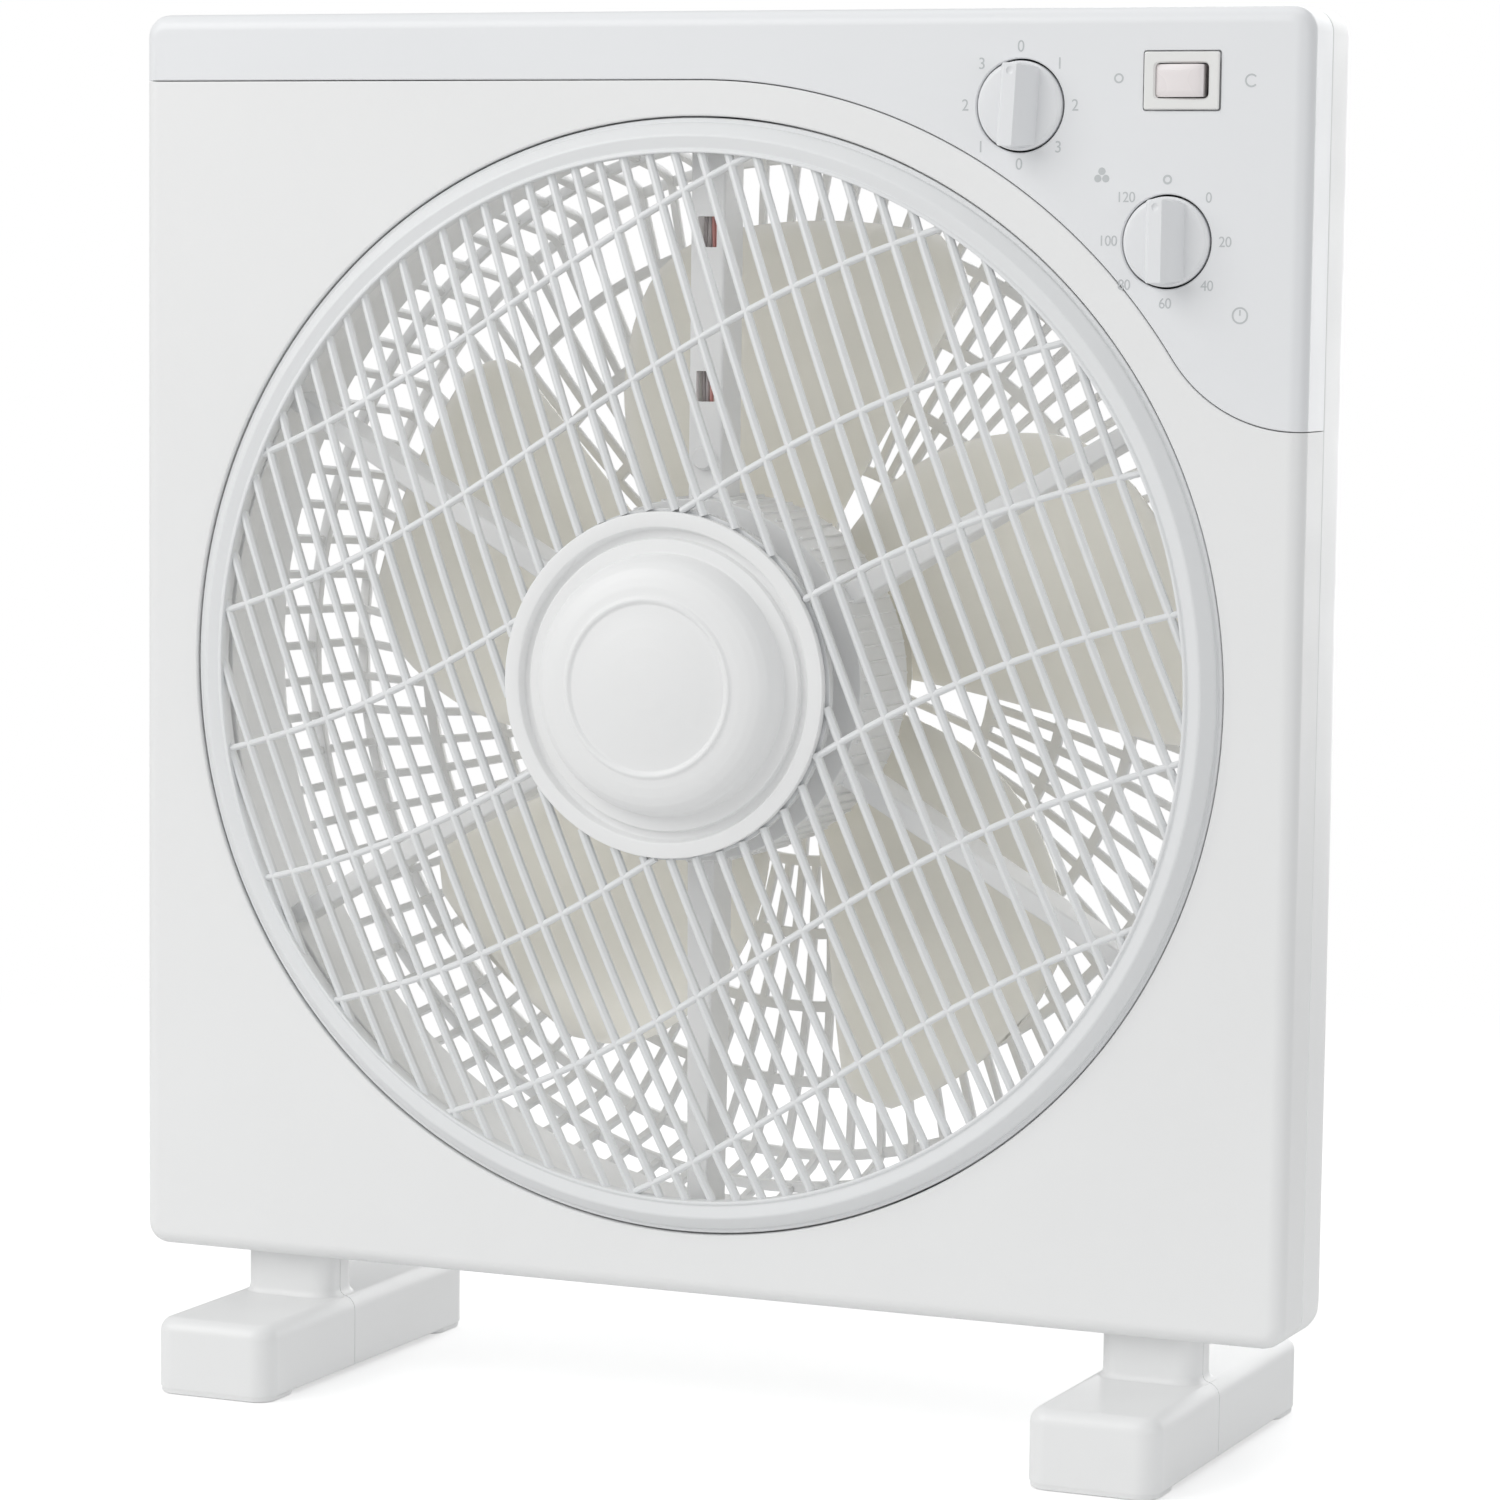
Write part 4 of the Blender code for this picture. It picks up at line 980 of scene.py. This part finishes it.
def make_blade_nut():
    front, back = depths("blade_nut")
    radius = radius_of("blade_nut")
    bore, bore_end = 0.0043, 0.0863
    nut = solid(turned(soften([(bore, front), (radius, front), (radius, front + 0.005),
                               (radius * 0.74, back - 0.0008), (0.0, back), (0.0, bore_end),
                               (bore, bore_end)], 0.0006, 3, False), 96))
    spots = [at_angle(2 * pi * number / NUT_GRIPS, radius + 0.0004, 0.0)
             for number in range(NUT_GRIPS)]
    cut(nut, merge(*[pin(0.0009, front - 0.001, back + 0.001, 12, x, z) for x, z in spots]))
    piece("blade_spinner_nut", nut, AXIS, "fan", ["blade_nut"], 30)


# --- rear guard ---
GUARD_RINGS = (0.159, 0.1355, 0.111, 0.0875, 0.064)
GUARD_RIBS = 90
GUARD_DISC = 0.03
GUARD_SIDE_RING = (0.166, 0.0726)
GUARD_LIP = (0.1684, 0.171)
GUARD_THICK = 0.0026
GUARD_BAR = 0.0017  # half width of a ring
GUARD_FLAT = 0.156  # radius where the ribs reach the flat back
GUARD_SWIRL = 0.16  # turn of the ribs from the edge to the middle
RIB_STEPS = 16
RIB_SECTION = ((-0.0012, -0.0012), (0.0012, -0.0012), (0.0014, 0.0004), (0.001, 0.0012),
               (-0.001, 0.0012), (-0.0014, 0.0004))


def guard_rib(path, turn):
    """Rib along a path of (radius, depth) that swirls as it nears the axis."""
    loops = []
    for i, (radius, depth) in enumerate(path):
        spiral = turn + GUARD_SWIRL * max(0.16 - radius, 0.0) / 0.16
        before, after = path[max(i - 1, 0)], path[min(i + 1, len(path) - 1)]
        ahead = Vector((after[0] - before[0], after[1] - before[1])).normalized()
        loop = []
        for across, high in RIB_SECTION:
            x, z = at_angle(spiral, radius - ahead.y * high, across)
            loop.append((x, depth + ahead.x * high, z))
        loops.append(loop)
    return stack(loops)


def make_rear_guard():
    """Lip on the case, ribs that turn from its side to its face, rings and a middle disc."""
    lip = DUCT_DEPTH + GAP
    plane = depths("rear_grille")[1] - GUARD_THICK
    middle = plane + 0.0012
    guard = solid(band(*GUARD_LIP, lip, lip + GUARD_THICK, 0.0006, 240))
    radius, depth = GUARD_SIDE_RING
    rings = [(radius, depth - GUARD_BAR, depth + GUARD_BAR)]
    rings += [(radius, plane, plane + GUARD_THICK) for radius in GUARD_RINGS]
    join(guard, *[band(radius - GUARD_BAR, radius + GUARD_BAR, front, back, 0.0005, 200)
                  for radius, front, back in rings])
    disc = behind(plane, (0.0, 0.0004), (GUARD_DISC, 0.0004), (GUARD_DISC, GUARD_THICK),
                  (GUARD_DISC - 0.003, GUARD_THICK), (GUARD_DISC - 0.004, 0.0018), (0.0, 0.0018))
    join(guard, turned(soften(disc, 0.0004, 2, False), 120))
    side = behind(lip, (0.1698, 0.0014), (0.169, 0.007)) + [GUARD_SIDE_RING]
    side += behind(plane, (0.1632, -0.008), (0.1618, -0.0032), (0.1604, -0.0006), (0.1584, 0.0008),
                   (GUARD_FLAT, 0.0012))
    long_ribs, short_ribs = [], []
    for number in range(GUARD_RIBS):
        inner, ribs = ((GUARD_RINGS[-1], short_ribs) if number % 3 else
                       (GUARD_DISC - 0.001, long_ribs))
        path = side + [(GUARD_FLAT + (inner - GUARD_FLAT) * step / RIB_STEPS, middle)
                       for step in range(1, RIB_STEPS + 1)]
        ribs.append(guard_rib(path, 2 * pi * number / GUARD_RIBS))
    join(guard, merge(*long_ribs), merge(*short_ribs))
    piece("rear_guard", guard, AXIS, "case", ["rear_grille"])


# --- controls ---
KNOB_FACE = -0.0012  # depth of the disc's face
KNOB_STEM = 0.0055
RIDGE_SHARES = (1.0, 0.8, 0.5, 0.2, -0.2, -0.5, -0.8, -1.0)
ROCKER_HALF = (0.0077, 0.0047)
ROCKER_CURVE = 0.03
ROCKER_GRID = (24, 10)
ROCKER_TILT = 8.0
INK = (-0.00006, -0.00001)  # front and back of the printed marks
INK_LINE = 0.0005


def make_knob(name, node, joint, body, lean):
    """Disc with a bevelled rim and a two-facet grip ridge with a marking dimple."""
    front, back = depths(node)
    radius = radius_of(node)
    outline = soften([(0.0, KNOB_FACE), (radius - 0.001, KNOB_FACE), (radius, KNOB_FACE + 0.0008),
                      (radius, 0.0024), (KNOB_STEM, 0.0024), (KNOB_STEM, back), (0.0, back)],
                     0.0003, 2, False)
    knob = solid(turned(outline, 96))
    loops = []
    for half, depth, pull in ((0.006, KNOB_FACE + 0.0008, 0.0006),
                              (0.0057, KNOB_FACE - 0.0002, 0.0006), (0.0043, front + 0.0046, 0.0008),
                              (0.0023, front + 0.0004, 0.0009), (0.0019, front, 0.0012)):
        ends = [(half * share, sqrt((radius - pull) ** 2 - (half * share) ** 2))
                for share in RIDGE_SHARES]
        loops.append(raised(ends + [(x, -z) for x, z in ends[::-1]], depth))
    join(knob, stack(loops))
    cut(knob, turned([(0.0, front - 0.001), (0.0012, front - 0.001), (0.0011, front + 0.0002),
                      (0.0, front + 0.0006)], 32, 0.0, 0.0098))
    knob.data.transform(Matrix.Rotation(radians(lean), 4, "Y"))
    piece(name, knob, joints[joint], body, [node], 30, slot="panel_plastic")


def make_rocker_bezel():
    spot, (width, height) = spot_of("rocker_housing").xz, size_of("rocker_housing").xz
    front, back = depths("rocker_housing")
    bezel = solid(stack([raised(box_outline(width - inset, height - inset, 0.0006, *spot), depth)
                         for inset, depth in ((0.0008, front), (0.0002, front + 0.0002),
                                              (0.0, front + 0.0004), (0.0, -GAP))]))
    join(bezel, prism(box_outline(width - 0.0026, height - 0.0026, 0.0005, *spot), -0.0006, back))
    slot = box_outline(0.0162, 0.0101, 0.0014, *spot)
    wide = box_outline(0.017, 0.0109, 0.0016, *spot)
    cut(bezel, stack([raised(wide, -0.01), raised(wide, front), raised(slot, front + 0.0006),
                      raised(slot, 0.0135)]))
    piece("rocker_bezel", bezel, CASE, "case", ["rocker_housing"], 30, True, "switch_bezel")


def make_rocker():
    """Curved button on a wedge that narrows to the pivot."""
    pivot = joints["louver_switch_tip"]
    half, tall = ROCKER_HALF
    columns, rows = ROCKER_GRID
    face = -0.002 - (pivot.y - FACE)
    rocker = bmesh.new()
    top = []
    for i in range(columns + 1):
        column = []
        for j in range(rows + 1):
            u, v = -1 + 2 * i / columns, -1 + 2 * j / rows
            x, z = half * u, tall * v
            edge = max(abs(u) ** 14, abs(v) ** 10)
            depth = ROCKER_CURVE - sqrt(ROCKER_CURVE ** 2 - x ** 2) + face + 0.0006 * edge
            column.append(rocker.verts.new((x * (1 - 0.012 * abs(v) ** 6), depth,
                                            z * (1 - 0.02 * abs(u) ** 6))))
        top.append(column)
    for i in range(columns):
        for j in range(rows):
            rocker.faces.new((top[i][j], top[i + 1][j], top[i + 1][j + 1], top[i][j + 1]))
    rim = ([column[0] for column in top] + top[-1][1:] + [column[-1] for column in top[-2::-1]]
           + top[0][-2:0:-1])
    foot = [rocker.verts.new((vert.co.x * 0.84, 0.0004, vert.co.z)) for vert in rim]
    keel = [rocker.verts.new((max(min(vert.co.x, 0.002), -0.002), 0.005, vert.co.z * 0.98))
            for vert in rim]
    for lower, upper in ((rim, foot), (foot, keel)):
        for k in range(len(rim)):
            after = (k + 1) % len(rim)
            rocker.faces.new((lower[k], lower[after], upper[after], upper[k]))
    rocker.faces.new(keel)
    shape = solid(rocker)
    shape.data.transform(Matrix.Rotation(radians(-ROCKER_TILT), 4, "Z"))
    piece("rocker_button", shape, pivot, "louver_switch", ["louver_rocker"],
          slot="rocker_plastic")


def letters(text, size, x, z):
    """Digits in the built-in font as a thin raised mesh, centred on a point of the panel."""
    curve = bpy.data.curves.new("digit", "FONT")
    curve.body = text
    curve.size = size
    curve.align_x = "CENTER"
    curve.align_y = "CENTER"
    curve.extrude = 0.00003
    curve.space_character = 0.95
    temporary = put("digit", curve)
    mesh = evaluated(temporary)
    mesh.transform(Matrix.Translation((x, -0.00003, z)) @ Matrix.Rotation(radians(90), 4, "X")
                   @ Matrix.Diagonal((0.95, 1.0, 1.0, 1.0)))
    bm = bmesh.new()
    bm.from_mesh(mesh)
    bpy.data.objects.remove(temporary)
    bpy.data.curves.remove(curve)
    bpy.data.meshes.remove(mesh)
    return bm


def ring_mark(x, z, radius, width=INK_LINE):
    return turned(oblong(radius - width / 2, radius + width / 2, *INK), 40, x, z)


def make_marks():
    """Printed digits round both dials, and plain symbols in place of words."""
    speed = joints["speed_turn"] - CASE
    timer = joints["timer_turn"] - CASE
    parts = []
    for number in range(8):
        x, z = at_angle(radians(90 - 45 * number), 0.017, 0.0)
        parts.append(letters(str(number % 4), 0.0048, speed.x + x, speed.z + z))
    parts.append(ring_mark(timer.x, timer.z + 0.0178, 0.0011, 0.0006))
    for number in range(7):
        x, z = at_angle(radians(45 - 45 * number), 0.0178, 0.0)
        parts.append(letters(str(20 * number), 0.0043, timer.x + x, timer.z + z))
    for turn in (90, 210, 330):
        x, z = at_angle(radians(turn), 0.0014, 0.0)
        parts.append(prism(arc(0.1275 + x, 0.152 + z, 0.0011, turn - 160, turn + 160, 14), *INK))
    parts.append(ring_mark(0.1702, 0.1125, 0.0022))
    parts.append(prism(oblong(0.17, 0.1704, 0.1125, 0.1141), *INK))
    parts.append(ring_mark(0.1321, 0.18, 0.0012))
    outer, inner = (arc(0.1721, 0.1793, 0.0017 + side * INK_LINE / 2, 40, 320, 24)
                    for side in (1, -1))
    parts.append(prism(outer + inner[::-1], *INK))
    piece("dial_marks", merge(*parts), CASE, "case", [], 30, slot="panel_plastic", tone="ink")


# --- light and floor ---
FLOOR_RADIUS = 8.0
FLOOR_FADE = (0.25, 0.95)  # distances where the floor begins and ends to turn white
WORLD_LIGHT = 0.54
FLOOR_LIFT = 0.45
FLOOR_BOUNCE = 0.11
LIGHT_TARGET = Vector((0.0, 0.0, 0.2))
LIGHTS = {
    "key_light": ((-1.3, -1.5, 1.45), 1.7, 25.0, (1.0, 0.995, 0.985)),
    "top_light": ((0.0, 0.4, 1.9), 1.2, 4.0),
    "side_light": ((1.9, -1.3, 0.1), 1.4, 9.5, (0.98, 0.99, 1.0)),
    "rear_light": ((0.2, 1.9, 0.6), 1.6, 18.0),
}


def mix(tree, share, first, second, output):
    """Mix two shaders into the output of a material or world."""
    mixed = add_node(tree, "MixShader", {"Fac": share, 1: first, 2: second}).outputs["Shader"]
    fill(tree, tree.nodes[output], {"Surface": mixed})


def camera_ray(tree):
    return add_node(tree, "LightPath", {}).outputs["Is Camera Ray"]


def make_floor():
    """Pale floor that fades to the backdrop's white away from the object."""
    bm = bmesh.new()
    bmesh.ops.create_circle(bm, cap_ends=True, radius=FLOOR_RADIUS, segments=96)
    mesh = bpy.data.meshes.new("floor")
    bm.to_mesh(mesh)
    bm.free()
    floor = put("floor", mesh)
    made, tree, shader, coords = new_material("floor", 0.75)
    fill(tree, shader, {"Base Color": (0.7, 0.7, 0.7, 1.0), "Specular IOR Level": 0.2})
    length = add_node(tree, "VectorMath", {0: coords})
    length.operation = "LENGTH"
    start, end = FLOOR_FADE
    far = add_node(tree, "MapRange", {"From Min": start, "From Max": end,
                                      "Value": length.outputs["Value"]})
    far.interpolation_type = "SMOOTHSTEP"
    seen = camera_ray(tree)
    lift, glow = (add_node(tree, "Emission", {"Strength": range_node(tree, seen, *lights, 0.0, 1.0)})
                  for lights in ((FLOOR_BOUNCE, FLOOR_LIFT), (WORLD_LIGHT, 1.0)))
    lifted = add_node(tree, "AddShader", {0: shader.outputs["BSDF"], 1: lift.outputs["Emission"]})
    mix(tree, far.outputs["Result"], lifted.outputs["Shader"], glow.outputs["Emission"],
        "Material Output")
    mesh.materials.append(made)


def area_light(name, place, size, power, color=(1.0, 1.0, 1.0)):
    data = bpy.data.lights.new(name, "AREA")
    data.shape = "RECTANGLE"
    data.size = data.size_y = size
    data.energy = power
    data.color = color
    light = put(name, data)
    light.location = place
    light.visible_camera = False
    light.rotation_euler = (LIGHT_TARGET - Vector(place)).to_track_quat("-Z", "Y").to_euler()


def make_light():
    world = bpy.data.worlds.new("studio")
    bpy.context.scene.world = world
    world.use_nodes = True
    tree = world.node_tree
    lighting = fill(tree, tree.nodes["Background"], {"Color": (0.985, 0.995, 1.0, 1.0),
                                                     "Strength": WORLD_LIGHT})
    white = add_node(tree, "Background", {"Color": (1.0, 1.0, 1.0, 1.0)})
    mix(tree, camera_ray(tree), lighting.outputs["Background"], white.outputs["Background"],
        "World Output")
    for name, setup in LIGHTS.items():
        area_light(name, *setup)
    bpy.context.scene.view_settings.view_transform = "Standard"


# --- build ---
add_camera()
make_floor()
make_light()

make_front_shell()
make_control_panel()
make_rear_shell()
make_case_screws()
make_gland()
make_feet()
make_louver()
make_louver_cap()
make_bracket()
make_leads()
make_blade()
make_blade_nut()
make_rear_guard()
make_knob("speed_dial", "speed_knob", "speed_turn", "speed_control", 3.0)
make_knob("timer_dial", "timer_knob", "timer_turn", "timer_control", 0.0)
make_rocker_bezel()
make_rocker()
make_marks()

slots = {sub["node"]: sub["material_slot"] for sub in frame["record"]["subparts"]}
for node, made in frame["nodes"].items():
    made.data.materials.clear()
    made.data.materials.append(materials[slots[node]])
